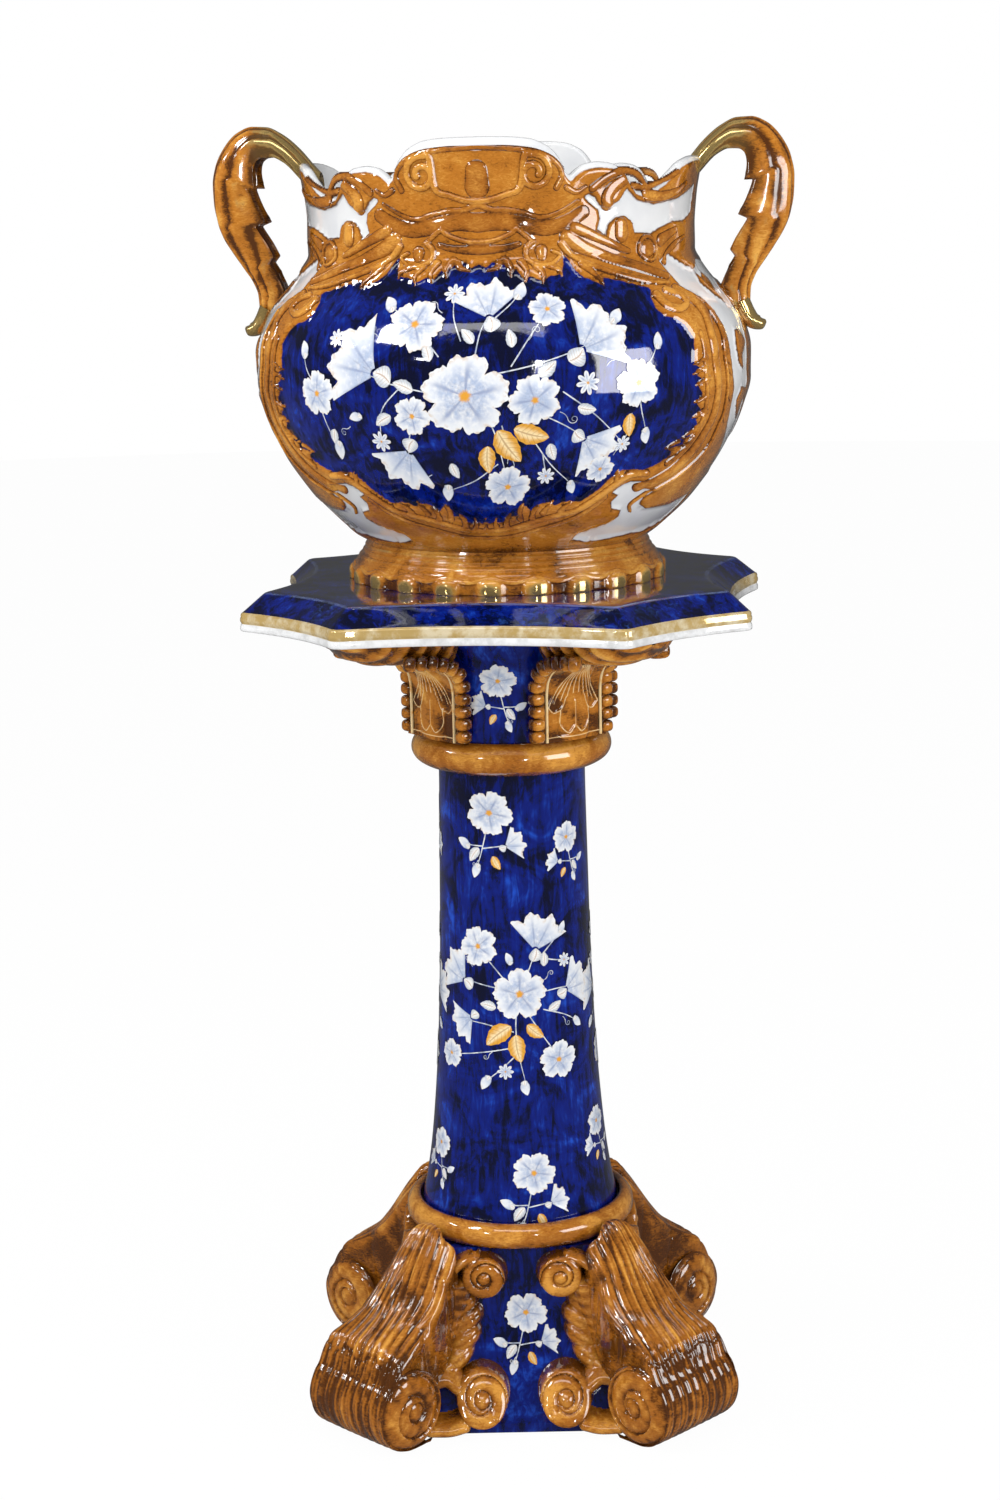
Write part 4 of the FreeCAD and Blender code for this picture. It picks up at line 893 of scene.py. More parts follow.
def frame_rolls() -> tuple:
    """Rolls of the frame round the left half of a panel: a leafy roll, its ridge line and flames.

    Returns:
        The rolls.
    """
    rolls = [
        Roll(((-46.6, 236.5), (-48.0, 229.5), (-51.6, 225.3), (-55.6, 229.0), (-54.8, 235.5), (-50.4, 239.4)),
             3.6, 3.0, 0.8),
        Roll(((-54.5, 239.5), (-58.6, 232.5), (-60.5, 221.5), (-60.0, 205.0), (-60.2, 190.0), (-61.2, 170.0),
              (-62.2, 150.0), (-61.5, 132.0), (-58.8, 115.0), (-54.5, 101.0), (-48.5, 91.5), (-44, 86)),
             5.0, 2.3, 0.9),
        Roll(((-62.4, 226.5), (-64.2, 211.5), (-64.0, 195.0), (-65.0, 175.0), (-66.2, 155.0), (-66.6, 137.0),
              (-65.8, 120.0), (-62.6, 105.0), (-57.2, 93.5), (-52.0, 86.5), (-47.6, 78.6), (-44.8, 71.5),
              (-46.4, 65.5)), 1.7, 2.6, 0.9),
        Roll(((-56.0, 206.0), (-56.2, 188.0), (-57.0, 165.0), (-57.9, 146.0), (-57.4, 131.0), (-54.6, 116.0),
              (-50.2, 105.0)), 2.4, 1.7, 0.9),
        Roll(((-44.5, 99.0), (-38.8, 99.0), (-35.2, 91.0), (-31.2, 81.0), (-26.5, 72.5), (-21.0, 68.8),
              (-14.0, 64.0), (-7, 58.5), (0, 56.5)), 3.0, 2.3, 0.9),
        Roll(((-34.0, 82.0), (-30.5, 72.5), (-25.0, 64.0), (-16.0, 57.5), (-7, 51.5), (0, 50)), 2.0, 1.8, 0.9),
    ]
    tips = ((-67.2, 179, -64.5, 186), (-67.6, 171, -65, 178), (-69.2, 150, -66, 158), (-69.4, 133, -66.6, 141))
    flames = ((-24.5, 79.6, -21.6, 72.0), (-19.2, 79.4, -16.6, 71.0), (-15.0, 76.0, -13.6, 67.0),
              (-10.8, 78.6, -10.2, 66.0), (-7.6, 69.6, -6.2, 61.0), (-3.2, 65.6, -3.6, 58.0), (0, 65.4, 0, 57.5),
              (-35.6, 102.4, -35.8, 93.0))
    for tip_angle, tip_up, root_angle, root_up in flames:
        bend = ((tip_angle + root_angle) / 2 + 0.5, (tip_up + root_up) / 2)
        rolls.append(Roll(((root_angle, root_up), bend, (tip_angle, tip_up)), 2.5, 1.8, 0.3))
    inner = ((-53.3, 183), (-53.2, 175.5), (-54.2, 166.5), (-54.4, 153), (-55.2, 140.7), (-53.6, 124.7),
             (-48.9, 117.2))
    for angle, up in inner:
        rolls.append(Roll(((angle - 3.6, up + 4.5), (angle - 1.6, up + 2.8), (angle + 0.4, up - 0.3)), 2.0, 1.6, 0.4))
    for tip_angle, tip_up, root_angle, root_up in tips:
        rolls.append(Roll(((root_angle, root_up), (tip_angle, tip_up)), 1.4, 1.2, 0.4))
    return tuple(rolls)


# ---------------------------------------------------------------- jardiniere

POT_SKIN = TurnedSkin(POT_BASE, (33, 67, 108, 145, 166, 190, 217, 257, 271, 291, 358.6),
                      (118, 155, 184, 200.5, 205.5, 205.5, 197.5, 167.5, 159.5, 159.5, 168))
FRAME_RISE = 2.6
RIM_LINE = ((0, 361.4), (8, 361.0), (14, 359.5), (19, 354), (22.5, 344.5), (24.6, 333.5), (25.6, 331.4), (27.2, 335),
            (30, 339.4), (34, 341), (38, 340), (42, 335.5), (45, 327), (47.8, 319.4), (50.5, 318), (54, 320),
            (59, 326), (64, 334), (69, 341), (78, 345), (90, 345.5))


def rim_height(angle: np.ndarray) -> np.ndarray:
    """Height of the lobed rim over the slab at angles from the front."""
    folded = np.abs((angle + 90) % 180 - 90)
    line = np.array(RIM_LINE)
    return smooth_curve(line[:, 0], line[:, 1], folded)


def flat_on(skin: TurnedSkin, points: np.ndarray) -> np.ndarray:
    """Unroll points of angle and height on a skin to millimetres."""
    points = np.asarray(points, float)
    return np.stack([np.radians(points[:, 0]) * skin.radius(points[:, 1]), skin.rise(points[:, 1])], -1)


@dataclass
class Bowl:
    """The bowl: painted belly, waisted neck, lobed rim, and the plain inside."""

    columns: int = 576
    wall: float = 8.0
    lip: float = 3.4

    def outer_rows(self, angle: np.ndarray) -> np.ndarray:
        """Heights of the outer rows, even below the neck and drawn out to the rim's lobes above it."""
        low = np.repeat(np.linspace(33, 300, 100)[:, None], len(angle), 1)
        share = np.linspace(0, 1, 25)[1:, None]
        high = 300 + (rim_height(angle) - self.lip - 300)[None] * share
        return np.vstack([low, high])

    def build(self) -> bpy.types.Object:
        """Make the bowl, with the marks that its glazes follow.

        Returns:
            The piece.
        """
        angle = np.arange(self.columns) * 360 / self.columns
        ups = self.outer_rows(angle)
        angles = np.broadcast_to(angle, ups.shape)
        top = rim_height(angle)
        folded = -np.abs((angles + 90) % 180 - 90)
        blue, white = self.areas(angles, ups)
        lift = self.ground(angles, ups, blue, white)
        cloth = Cloth()
        places = POT_SKIN.place(angles, ups, lift)
        lip_band = ups - (top - smooth_curve(np.array([0, 16, 25, 90.0]), np.array([10, 8.5, 4.5, 4.0]),
                                             -folded[-1]))[None]
        rows = len(ups)
        turn = np.linspace(0, math.pi, 9)[1:]
        radius = POT_SKIN.radius(top)
        lip_out = radius[None] - self.wall / 2 + self.wall / 2 * np.cos(turn)[:, None]
        lip_up = top[None] - self.lip + self.lip * np.sin(turn)[:, None]
        inner_share = np.linspace(0, 1, 15)[1:, None]
        inner_up = (top - self.lip)[None] * (1 - inner_share) + 62 * inner_share
        inner_out = POT_SKIN.radius(inner_up) - self.wall
        floor_share = np.linspace(0, 1, 8)[1:, None]
        floor_out = inner_out[-1:] * (1 - floor_share) + 0.4 * floor_share
        floor_up = 43 + 19 * (1 - floor_share) ** 2 + np.zeros_like(floor_out)
        out = np.vstack([lip_out, inner_out, floor_out])
        up = np.vstack([lip_up, inner_up, floor_up])
        heading = np.radians(angle)[None]
        inside = np.stack([out * np.sin(heading), -out * np.cos(heading), POT_BASE + up], -1) * MM
        inside = np.vstack([inside.reshape(-1, 3), [[0, 0, (POT_BASE + 43) * MM]]])
        extra = len(out)
        faces = grid_faces(rows + extra, self.columns, True)
        count = (rows + extra) * self.columns
        last = (rows + extra - 1) * self.columns + np.arange(self.columns)
        cap = np.stack([last, last - np.arange(self.columns) + (np.arange(self.columns) + 1) % self.columns,
                        np.full(self.columns, count)], -1)
        pad = extra * self.columns + 1
        marks = {
            "blue": np.concatenate([blue.ravel(), np.full(pad, -50.0)]),
            "white": np.concatenate([white.ravel(), np.full(pad, -50.0)]),
            "lip": np.concatenate([lip_band.ravel(), np.full(pad, 50.0)]),
            "relief": np.concatenate([(0.06 + 0.44 * np.clip(lift / FRAME_RISE, 0, 1)).ravel(), np.full(pad, 0.5)]),
        }
        cloth.add(np.vstack([places, inside]), faces, 0, **marks)
        cloth.faces.append(cap)
        cloth.kinds.append(np.zeros(len(cap)))
        return cloth.piece("bowl_body", "jardiniere", "painted_glaze", [BowlGlaze()], ("jardiniere_bowl",))

    def areas(self, angles: np.ndarray, ups: np.ndarray) -> tuple:
        """Distances inside the blue and the milk-white areas, in millimetres."""
        across = np.radians(-np.abs((angles + 90) % 180 - 90)) * POT_SKIN.radius(ups)
        rise = POT_SKIN.rise(ups)
        blue = self.area(across, rise, both_sides(PANEL_EDGE))
        white = np.max([self.area(across, rise, area) for area in (NECK_MILK, LOW_MILK, SIDE_MILK)], 0)
        for flame in SIDE_FLAMES:
            white = np.minimum(white, -self.area(across, rise, flame))
        return blue, white

    def ground(self, angles: np.ndarray, ups: np.ndarray, blue: np.ndarray = None,
               white: np.ndarray = None) -> np.ndarray:
        """Height over the skin: the amber frame and crest stand out, with rounded edges, round blue and white."""
        if blue is None:
            blue, white = self.areas(angles, ups)
        share = np.clip((np.minimum(-blue, -white) + 0.4) / 3.4, 0, 1)
        side = 90 - np.abs((angles + 90) % 180 - 90)
        waves = 0.35 * np.sin(ups * 0.21 + 0.11 * side) * np.cos(side * 0.24)
        fade = np.clip((rim_height(angles) - 2.5 - ups) / 4, 0, 1) * np.clip((ups - 34) / 8, 0, 1)
        return (FRAME_RISE + waves) * np.sqrt(1 - (1 - share) ** 2) * np.clip(side / 22, 0.35, 1) * fade

    @staticmethod
    def area(across: np.ndarray, rise: np.ndarray, outline) -> np.ndarray:
        """Distance inside an area of the bowl, in millimetres, worked out only near it."""
        drawn = flat_on(POT_SKIN, outline)
        low, high = drawn.min(0) - 12, drawn.max(0) + 12
        near = (across > low[0]) & (across < high[0]) & (rise > low[1]) & (rise < high[1])
        result = np.full(across.shape, -12.0)
        result[near] = inside_by(across[near], rise[near], drawn)
        return result

    def ornament(self) -> None:
        """Add the relief on both necks and round both panels."""
        neck = Carving(POT_SKIN, neck_rolls())
        border = Carving(POT_SKIN, frame_rolls())
        for side, turn in (("front", 0.0), ("rear", 180.0)):
            cloth = Cloth()
            neck.mesh(cloth, np.linspace(-76, 76, 609), np.linspace(240, 355, 128), turn, self.ground)
            cloth.piece(f"neck_relief_{side}", "jardiniere", "painted_glaze", [AmberGlaze()])
            cloth = Cloth()
            border.mesh(cloth, np.linspace(-70, 70, 561), POT_SKIN.level(np.linspace(
                float(POT_SKIN.rise(44)), float(POT_SKIN.rise(246)), 230)), turn, self.ground)
            cloth.piece(f"panel_frame_{side}", "jardiniere", "painted_glaze", [AmberGlaze()])


@dataclass
class FootRing:
    """The bowl's foot: reeds over a wavy hem with a row of bumps."""

    columns: int = 704
    bumps: int = 22

    def build(self) -> bpy.types.Object:
        """Make the foot ring."""
        profile = TurnedSkin(POT_BASE, (0, 2, 6, 15, 18, 22, 26, 30, 34), (130, 130.5, 130.6, 129, 127, 123.5, 121, 119, 118))
        ups = np.linspace(0.2, 33.6, 76)
        angle = np.arange(self.columns) * 360 / self.columns
        angles, up = np.meshgrid(angle, ups)
        wave = np.cos(np.radians(angles) * self.bumps)
        lift = np.zeros_like(up)
        for middle, half, tall in ((20.5, 1.5, 0.9), (24.8, 1.4, 0.9), (29.2, 1.6, 1.2)):
            lift = np.maximum(lift, tall * np.sqrt(np.clip(1 - ((up - middle) / half) ** 2, 0, 1)))
        bump_share = np.clip((wave + 0.45) / 1.45, 0, 1) ** 0.6
        hem = 10.5 + 1.6 * wave
        pad = 4.4 * bump_share * np.sqrt(np.clip(1 - (np.abs(up - 4.0) / (hem - 3.0)) ** 3, 0, 1))
        swag = 1.6 * np.sqrt(np.clip(1 - ((up - hem - 1.2) / 2.2) ** 2, 0, 1))
        lift = np.maximum(np.maximum(lift, pad), swag)
        lift = np.where(up < 0.9, np.minimum(lift, up * 4), lift)
        places = profile.place(angles, up, lift)
        relief = 0.40 + 0.30 * np.clip(lift / 3, 0, 1) - 0.42 * (1 - bump_share) * (up < hem)
        gilt = np.clip(1.25 - np.abs(up - 4) / 6, 0, 1) * bump_share * 0.8 + 0.4 * (lift > 0.8) * (up > 18)
        bore = np.radians(angle)
        rings = []
        for out, height in ((98, 33), (98, 0.2)):
            rings.append(np.stack([out * np.sin(bore), -out * np.cos(bore), np.full(len(bore), POT_BASE + height)], -1) * MM)
        points = np.vstack([places, *rings])
        faces = grid_faces(len(ups) + 2, self.columns, True)
        closing = grid_faces(2, self.columns, True)
        last = len(points) - self.columns
        closing = np.where(closing >= self.columns, closing - self.columns, closing + last)
        cloth = Cloth()
        cloth.add(points, np.vstack([faces, closing]),
                  relief=np.concatenate([relief.ravel(), np.full(2 * self.columns, 0.1)]),
                  gilt=np.concatenate([gilt.ravel(), np.zeros(2 * self.columns)]))
        return cloth.piece("pot_foot_ring", "jardiniere", "amber_glaze", [GiltGlaze()],
                           ("jardiniere_foot",))


@dataclass
class Handle:
    """An acanthus leaf that leaves the rim, rolls over, and falls to the shoulder, hollow on its inner side."""

    hand: float

    OUTER = ((150, 338), (156, 344), (168, 357.5), (182, 369), (195, 375), (207, 375.6), (220, 370.5), (232, 358),
             (239.6, 343), (242.3, 328), (242, 313), (240, 299), (235, 285), (227, 272), (218, 259), (210.5, 248),
             (206.5, 237), (206, 227), (206.5, 217), (205, 207))
    INNER = ((150, 318), (156, 322), (166, 333), (178, 344.5), (188, 349), (196, 348.5), (202.5, 344), (206, 336.5),
             (207.5, 328), (207, 318), (206, 308), (204, 298), (200.5, 288), (196.5, 278), (193.5, 267), (190.5, 256),
             (186, 245), (183, 233), (184, 221), (188, 209))
    WIDE = (15, 17, 18, 18, 17.5, 17.5, 17.5, 17.5, 17.5, 17, 16.5, 16.5, 16, 15, 14.5, 14, 13, 12, 11.5, 11)

    def build(self) -> bpy.types.Object:
        """Make the handle by sweeping a crescent section between its outer and inner outlines."""
        stations = 190
        t = np.linspace(0, 1, stations)
        knots = np.linspace(0, 1, len(self.OUTER))
        outer = np.stack([smooth_curve(knots, np.array(self.OUTER, float)[:, k], t) for k in (0, 1)], -1)
        inner = np.stack([smooth_curve(knots, np.array(self.INNER, float)[:, k], t) for k in (0, 1)], -1)
        wide = smooth_curve(knots, np.array(self.WIDE, float), t)
        lobes = np.zeros(stations)
        for start, end, size in ((0.30, 0.44, 1.0), (0.44, 0.60, 1.1), (0.60, 0.75, 1.0), (0.75, 0.88, 0.7)):
            share = np.clip((t - start) / (end - start), 0, 1)
            lobes = np.maximum(lobes, size * share * np.clip((1 - share) * 9, 0, 1))
        turn = np.linspace(0, math.pi, 61)
        shell = np.stack([np.cos(turn), np.sin(turn) ** 0.8], -1)
        back = np.linspace(math.pi, 0, 25)[1:-1]
        groove = np.stack([0.84 * np.cos(back), 0.02 + 0.62 * np.sin(back)], -1)
        section = np.vstack([shell, groove])
        edge = np.abs(section[:, 0])[None] ** 3
        side = section[:, 0][None] * (wide + 1.6 * lobes)[:, None]
        depth = section[:, 1][None] - 0.24 * (lobes[:, None] - 0.25) * edge
        on_shell = np.concatenate([np.ones(len(shell)), np.zeros(len(groove))])[None]
        spread = np.concatenate([turn, np.full(len(groove), 0.0)])[None] / math.pi - 0.5
        drift = 0.35 * t[:, None] + 0.10 * np.sin(9 * t[:, None]) * np.abs(spread) * 2
        folds = np.abs(np.sin(math.pi * (np.abs(spread) * 5.2 + drift * 4)))
        crease = 0.6 * np.abs(np.sin(math.pi * (np.abs(spread) * 13 + 7 * t[:, None])))
        ribs = (folds ** 0.7 * 1.6 + crease * 0.35 - 1.2) * on_shell
        ribs = ribs * np.clip(np.minimum(t * 8, (1 - t) * 10), 0, 1)[:, None]
        span = outer - inner
        reach = np.hypot(span[:, 0], span[:, 1])[:, None]
        depth = depth + (ribs - 0.4) * 1.25 / reach
        middle = inner[:, None] + span[:, None] * depth[..., None]
        x = self.hand * middle[..., 0]
        points = np.stack([x, side, POT_BASE + middle[..., 1]], -1) * MM
        faces = grid_faces(stations, len(section), True)
        if self.hand < 0:
            faces = faces[:, ::-1]
        # relief mark: pale on the leaf's ribs, dark in its folds, and darkest over the whole inner groove; painted
        # shade as well as pooled glaze
        relief = np.where(on_shell > 0, 0.34 + 0.50 * ribs, -0.1) + np.zeros_like(side)
        horn = np.clip((0.34 - t) / 0.2, 0, 1) + 0.8 * np.clip((t - 0.9) / 0.06, 0, 1)
        gilt = horn[:, None] * np.ones_like(side) + 0.35 * edge * on_shell
        cloth = Cloth()
        cloth.add(points, faces, relief=relief.ravel(), gilt=gilt.ravel())
        self.tail(cloth)
        name = "handle_leaf_left" if self.hand < 0 else "handle_leaf_right"
        return cloth.piece(name, "jardiniere", "gilt_glaze", [GiltGlaze()],
                           ("handle_left" if self.hand < 0 else "handle_right",))

    def tail(self, cloth: Cloth) -> None:
        """Add the curled tip at the lower end."""
        line = flowing_line([(198, 226), (203, 216), (208, 210.5), (214, 208.5), (219, 210)], 8)
        half = np.interp(np.linspace(0, 1, len(line)), (0, 0.3, 0.8, 1), (8, 7.5, 5.5, 1.2))
        wide = np.interp(np.linspace(0, 1, len(line)), (0, 0.5, 0.85, 1), (12, 11, 8, 1.5))
        way = np.gradient(line, axis=0)
        way /= np.hypot(way[:, 0], way[:, 1])[:, None]
        turn = np.linspace(0, 2 * math.pi, 24, endpoint=False)
        out = line[:, None, 0] - way[:, None, 1] * half[:, None] * np.sin(turn)[None]
        up = line[:, None, 1] + way[:, None, 0] * half[:, None] * np.sin(turn)[None]
        side = wide[:, None] * np.cos(turn)[None]
        points = np.stack([self.hand * out, side, POT_BASE + up], -1) * MM
        faces = grid_faces(len(line), 24, True)
        cloth.add(points, faces if self.hand > 0 else faces[:, ::-1], relief=0.6, gilt=0.9)


# ---------------------------------------------------------------- slab

def slab_reach(angle: np.ndarray, corner: float = 242.0, long_hollow: float = 20.0,
               short_hollow: float = 9.0) -> np.ndarray:
    """Distance from the axis to the slab's edge: four long and four short sides, all curved in.

    Args:
        angle: Degrees from the front.
        corner: Distance to a corner.
        long_hollow: How far a long side curves in.
        short_hollow: How far a short side curves in.

    Returns:
        Millimetres. Each side is the arc through its two corners and its hollowed middle.
    """
    def arc(offset: np.ndarray, half: float, hollow: float) -> np.ndarray:
        """Distance to one arc at angles from its middle; half is the angle to its corner."""
        chord = corner * math.cos(math.radians(half))
        width = corner * math.sin(math.radians(half))
        radius = (width ** 2 + hollow ** 2) / (2 * hollow)
        centre = chord - hollow + radius
        heading = np.radians(offset)
        under = np.clip(radius ** 2 - (centre * np.sin(heading)) ** 2, 0, None)
        return centre * np.cos(heading) - np.sqrt(under)

    to_long = (angle + 45) % 90 - 45
    to_short = angle % 90 - 45
    return np.where(np.abs(to_long) <= 28.8, arc(to_long, 28.8, long_hollow), arc(to_short, 16.2, short_hollow))


@dataclass
class Slab:
    """The eight-sided slab: a white band with worn gold edges, a blue bevel and a glossy blue top."""

    columns: int = 640

    def build(self) -> bpy.types.Object:
        """Make the slab."""
        angle = np.arange(self.columns) * 360 / self.columns
        rows = [(-150, 0.2, 0), (-30, 0.2, 0), (-6, 0.2, 0), (-1.6, 0.3, 0), (-0.5, 1.0, 0), (-0.2, 2.4, 0), (-0.3, 4.6, 0),
                (-1.1, 6.2, 0), (-1.3, 7.0, 1), (-0.6, 7.8, 1), (-0.2, 9.0, 1), (-0.3, 10.8, 1), (-0.9, 12.2, 1),
                (-0.8, 13.6, 1), (-1.3, 14.8, 1), (-2.6, 15.6, 1.2), (-3.4, 16.2, 2), (-6.0, 18.2, 2),
                (-10.0, 21.4, 2), (-14.0, 24.6, 2), (-17.4, 27.3, 2), (-19.6, 29.0, 2), (-21.4, 30.2, 3), (-23.2, 30.7, 3),
                (-25.6, 30.95, 2), (-34, 31, 2), (-60, 31, 2), (-100, 31, 2), (-150, 31, 2), (-200, 31, 2)]
        soft = 3.0
        spread = np.radians(np.linspace(-soft, soft, 9))
        reach = np.mean([slab_reach(angle + math.degrees(s)) for s in spread * 0.5], 0)
        heading = np.radians(angle)
        points, zones = [], []
        for inset, up, zone in rows:
            out = np.maximum(reach + inset * (1 + 0.04 * (inset < -3)), 1.0)
            out = np.minimum(out, reach) if inset > -40 else reach * (242 + inset) / 242
            points.append(np.stack([out * np.sin(heading), -out * np.cos(heading),
                                    np.full(len(out), SLAB_BASE + up)], -1) * MM)
            zones.append(np.full(self.columns, float(zone)))
        count = len(rows) * self.columns
        points.append(np.array([[0, 0, (SLAB_BASE + 31) * MM], [0, 0, (SLAB_BASE + 0.2) * MM]]))
        ring = np.arange(self.columns)
        following = (ring + 1) % self.columns
        last = count - self.columns
        cloth = Cloth()
        cloth.add(np.vstack(points), grid_faces(len(rows), self.columns, True),
                  zone=np.concatenate(zones + [[2.0, 0.0]]), relief=0.55)
        cloth.faces += [np.stack([last + ring, last + following, np.full(len(ring), count)], -1),
                        np.stack([following, ring, np.full(len(ring), count + 1)], -1)]
        cloth.kinds += [np.zeros(self.columns), np.zeros(self.columns)]
        return cloth.piece("slab_top", "capital", "cobalt_glaze", [SlabGlaze()], ("top_slab",))


@dataclass(frozen=True)
class SlabGlaze(Finish):
    """The slab's bands by a mark named zone: 0 milk white, 1 worn gold, 2 blue, 3 blue thinned at the edge."""

    name: str = "slab_glaze"

    def paint(self) -> bpy.types.Material:
        """Wire the material."""
        paint = Paint(self.name)
        zone = paint.mark("zone")
        cobalt = paint.group(Effects.mottled(), Lift=-0.06, **COBALT).outputs["Color"]
        worn = paint.noise(60, 4, 0.7)
        milk = paint.blend(paint.step(worn, 0.4, 0.7), MILK, (0.50, 0.50, 0.50))
        gold = paint.blend(paint.step(worn, 0.40, 0.66), (0.52, 0.36, 0.13), (0.74, 0.63, 0.42))
        color = paint.blend(paint.step(zone, 0.3, 0.7), milk, gold)
        color = paint.blend(paint.step(zone, 1.35, 1.75), color, cobalt)
        thin = paint.sum("MULTIPLY", paint.step(zone, 2.4, 3.0), paint.step(worn, 0.3, 0.6))
        color = paint.blend(paint.sum("MULTIPLY", thin, 0.5), color, (0.16, 0.22, 0.42))
        strokes = paint.step(paint.noise(1, 5, 0.7, 1.2, paint.place((70, 70, 200))), 0.50, 0.72)
        patches = paint.sum("MULTIPLY", strokes, paint.step(paint.noise(7, 2), 0.46, 0.62))
        color = paint.blend(paint.sum("MULTIPLY", paint.sum("MULTIPLY", patches, paint.step(zone, 1.7, 2.0)), 0.55),
                            color, (0.035, 0.12, 0.50))
        made = self.glazed(paint, color, 0.06)
        is_gold = paint.sum("MULTIPLY", paint.step(zone, 0.4, 0.9), paint.step(zone, 1.6, 1.1))
        paint.join(paint.shader.inputs["Metallic"], paint.sum("MULTIPLY", is_gold, 0.3))
        return made


# ---------------------------------------------------------------- turned pieces of the stand

@dataclass
class Turned:
    """A hollow turned piece, given by its outline from the lower inner edge round the outside to the inside."""

    name: str
    body: str
    slot: str
    base: float
    outline: tuple
    finish: Finish
    replaces: tuple
    columns: int = 360
    relief: tuple = ()
    fine: int = 6

    def build(self) -> bpy.types.Object:
        """Make the piece by turning its smoothed outline."""
        line = flowing_line(list(self.outline), self.fine)
        angle = np.radians(np.arange(self.columns) * 360 / self.columns)
        out, up = line[:, 0][:, None], line[:, 1][:, None]
        points = np.stack([out * np.sin(angle), -out * np.cos(angle), self.base + up + 0 * angle], -1) * MM
        relief = 0.5
        if self.relief:
            share = np.linspace(0, 1, len(line))
            relief = np.repeat(np.interp(share, np.linspace(0, 1, len(self.relief)), self.relief), self.columns)
        cloth = Cloth()
        cloth.add(points, grid_faces(len(line), self.columns, True), relief=relief)
        return cloth.piece(self.name, self.body, self.slot, [self.finish], self.replaces)


def stand_turnings() -> list:
    """The column, its collar and the ring under the capital."""
    column = Turned("column_body", "column", "cobalt_glaze", COLUMN_BASE,
                    ((54, 0), (70, 0), (84, 0.3), (86, 2), (86, 12), (85.4, 22), (82.2, 36), (79.5, 52), (77, 70),
                     (74.3, 96), (71.6, 128), (69.5, 160), (67.6, 200), (65.8, 250), (64.4, 320), (63.3, 380), (63, 406),
                     (62.6, 409.6), (60, 410), (54.2, 410), (54, 408), (54, 300), (54, 100), (54, 1), (54, 0)),
                    CobaltGlaze("column_glaze", -0.02), ("column_shaft",), 420)
    # the collar's relief marks are dark at its base and at its inner lip beside the column, painted shade in the gap as
    # well as pooled glaze, and pale on its outer bulge
    collar = Turned("collar_ring", "stand_foot", "amber_glaze", COLUMN_BASE,
                    ((87.6, 0), (92, 0.2), (97, 1.4), (100, 5.5), (100.4, 10), (99.6, 15), (96.2, 19.6), (92.4, 21.7),
                     (89.4, 21.2), (88.0, 19), (87.6, 14), (87.6, 4), (87.6, 0)),
                    AmberGlaze("collar_glaze"), ("foot_collar",), 360,
                    (0.1, 0.2, 0.3, 0.45, 0.7, 0.8, 0.8, 0.5, 0.15, 0.1, 0.1, 0.1, 0.1))
    ring = Turned("capital_base_ring", "capital", "amber_glaze", RING_BASE,
                  ((40, 0), (52, 0), (64, 0), (70, 0.2), (76, 1.8), (82.4, 6), (85.8, 12), (85.8, 18), (83.2, 23.4), (79, 26.6),
                   (76.4, 28.6), (79, 29.4), (80, 30), (60, 30), (40, 30), (40, 20), (40, 1), (40, 0)),
                  AmberGlaze("ring_glaze"), ("capital_ring",), 360,
                  (0.0, 0.0, 0.0, 0.1, 0.35, 0.6, 0.78, 0.8, 0.65, 0.35, 0.1, 0.0, 0.0, 0.0, 0.0, 0.0))
    return [column, collar, ring]


# ---------------------------------------------------------------- foot of the stand

def scroll_relief(across: np.ndarray, up: np.ndarray, radius: float, pitch: float, hand: float = 1.0,
                  start: float = 0.0) -> np.ndarray:
    """Relief of a volute: a rounded band that winds in to a raised eye.

    Args:
        across: Millimetres to the right of the eye.
        up: Millimetres over the eye.
        radius: Outer radius of the volute.
        pitch: Width of the band with its groove.
        hand: 1 where the band winds in anticlockwise, -1 clockwise.
        start: Heading in degrees where the band begins.

    Returns:
        0 in the grooves to 1 on the band's crest. The place across the band is the fraction of
        (radius - distance) / pitch plus the heading's share of a turn.
    """
    distance = np.hypot(across, up)
    heading = (hand * np.degrees(np.arctan2(up, across)) - start) % 360 / 360
    turns = (radius - distance) / pitch - heading
    share = turns - np.floor(turns)
    band = np.sqrt(np.clip(1 - (2 * share - 1) ** 2, 0, 1))
    first = turns < 0
    band = np.where(first, np.sqrt(np.clip(1 - (1 - (radius - distance) / np.maximum(pitch * heading, 0.1)) ** 2
                                           * (radius - distance < pitch * heading), 0, 1)), band)
    eye = np.sqrt(np.clip(1 - (distance / (pitch * 0.55)) ** 2, 0, 1))
    return np.where(distance < pitch * 0.55, np.maximum(eye, 0.2), band)


@dataclass(frozen=True)
class PanelSkin:
    """One side of the plinth: it curves in from the floor to the top, turned to its place under the column."""

    turn: float

    def reach(self, up: np.ndarray) -> np.ndarray:
        """Distance from the axis at heights over the floor."""
        return smooth_curve(np.array([0, 8, 30, 68, 110, 152.0]), np.array([130, 130, 116.2, 98, 90.2, 88.0]),
                            np.asarray(up, float))

    def place(self, across: np.ndarray, up: np.ndarray, lift: np.ndarray = 0.0) -> np.ndarray:
        """Find places on the panel from millimetres across and up it, lifted off it horizontally."""
        across, up, lift = np.broadcast_arrays(np.asarray(across, float), np.asarray(up, float),
                                               np.asarray(lift, float))
        out = self.reach(up) + lift
        cos, sin = math.cos(math.radians(self.turn)), math.sin(math.radians(self.turn))
        return np.stack([across * cos + out * sin, across * sin - out * cos, up], -1).reshape(-1, 3) * MM

    def patch(self, centre: tuple, across: np.ndarray, along: np.ndarray, lift: np.ndarray = 0.0) -> np.ndarray:
        """Lay flat drawing coordinates on the panel round a centre."""
        return self.place(centre[0] + np.asarray(across, float), centre[1] + np.asarray(along, float) * 0.96, lift)


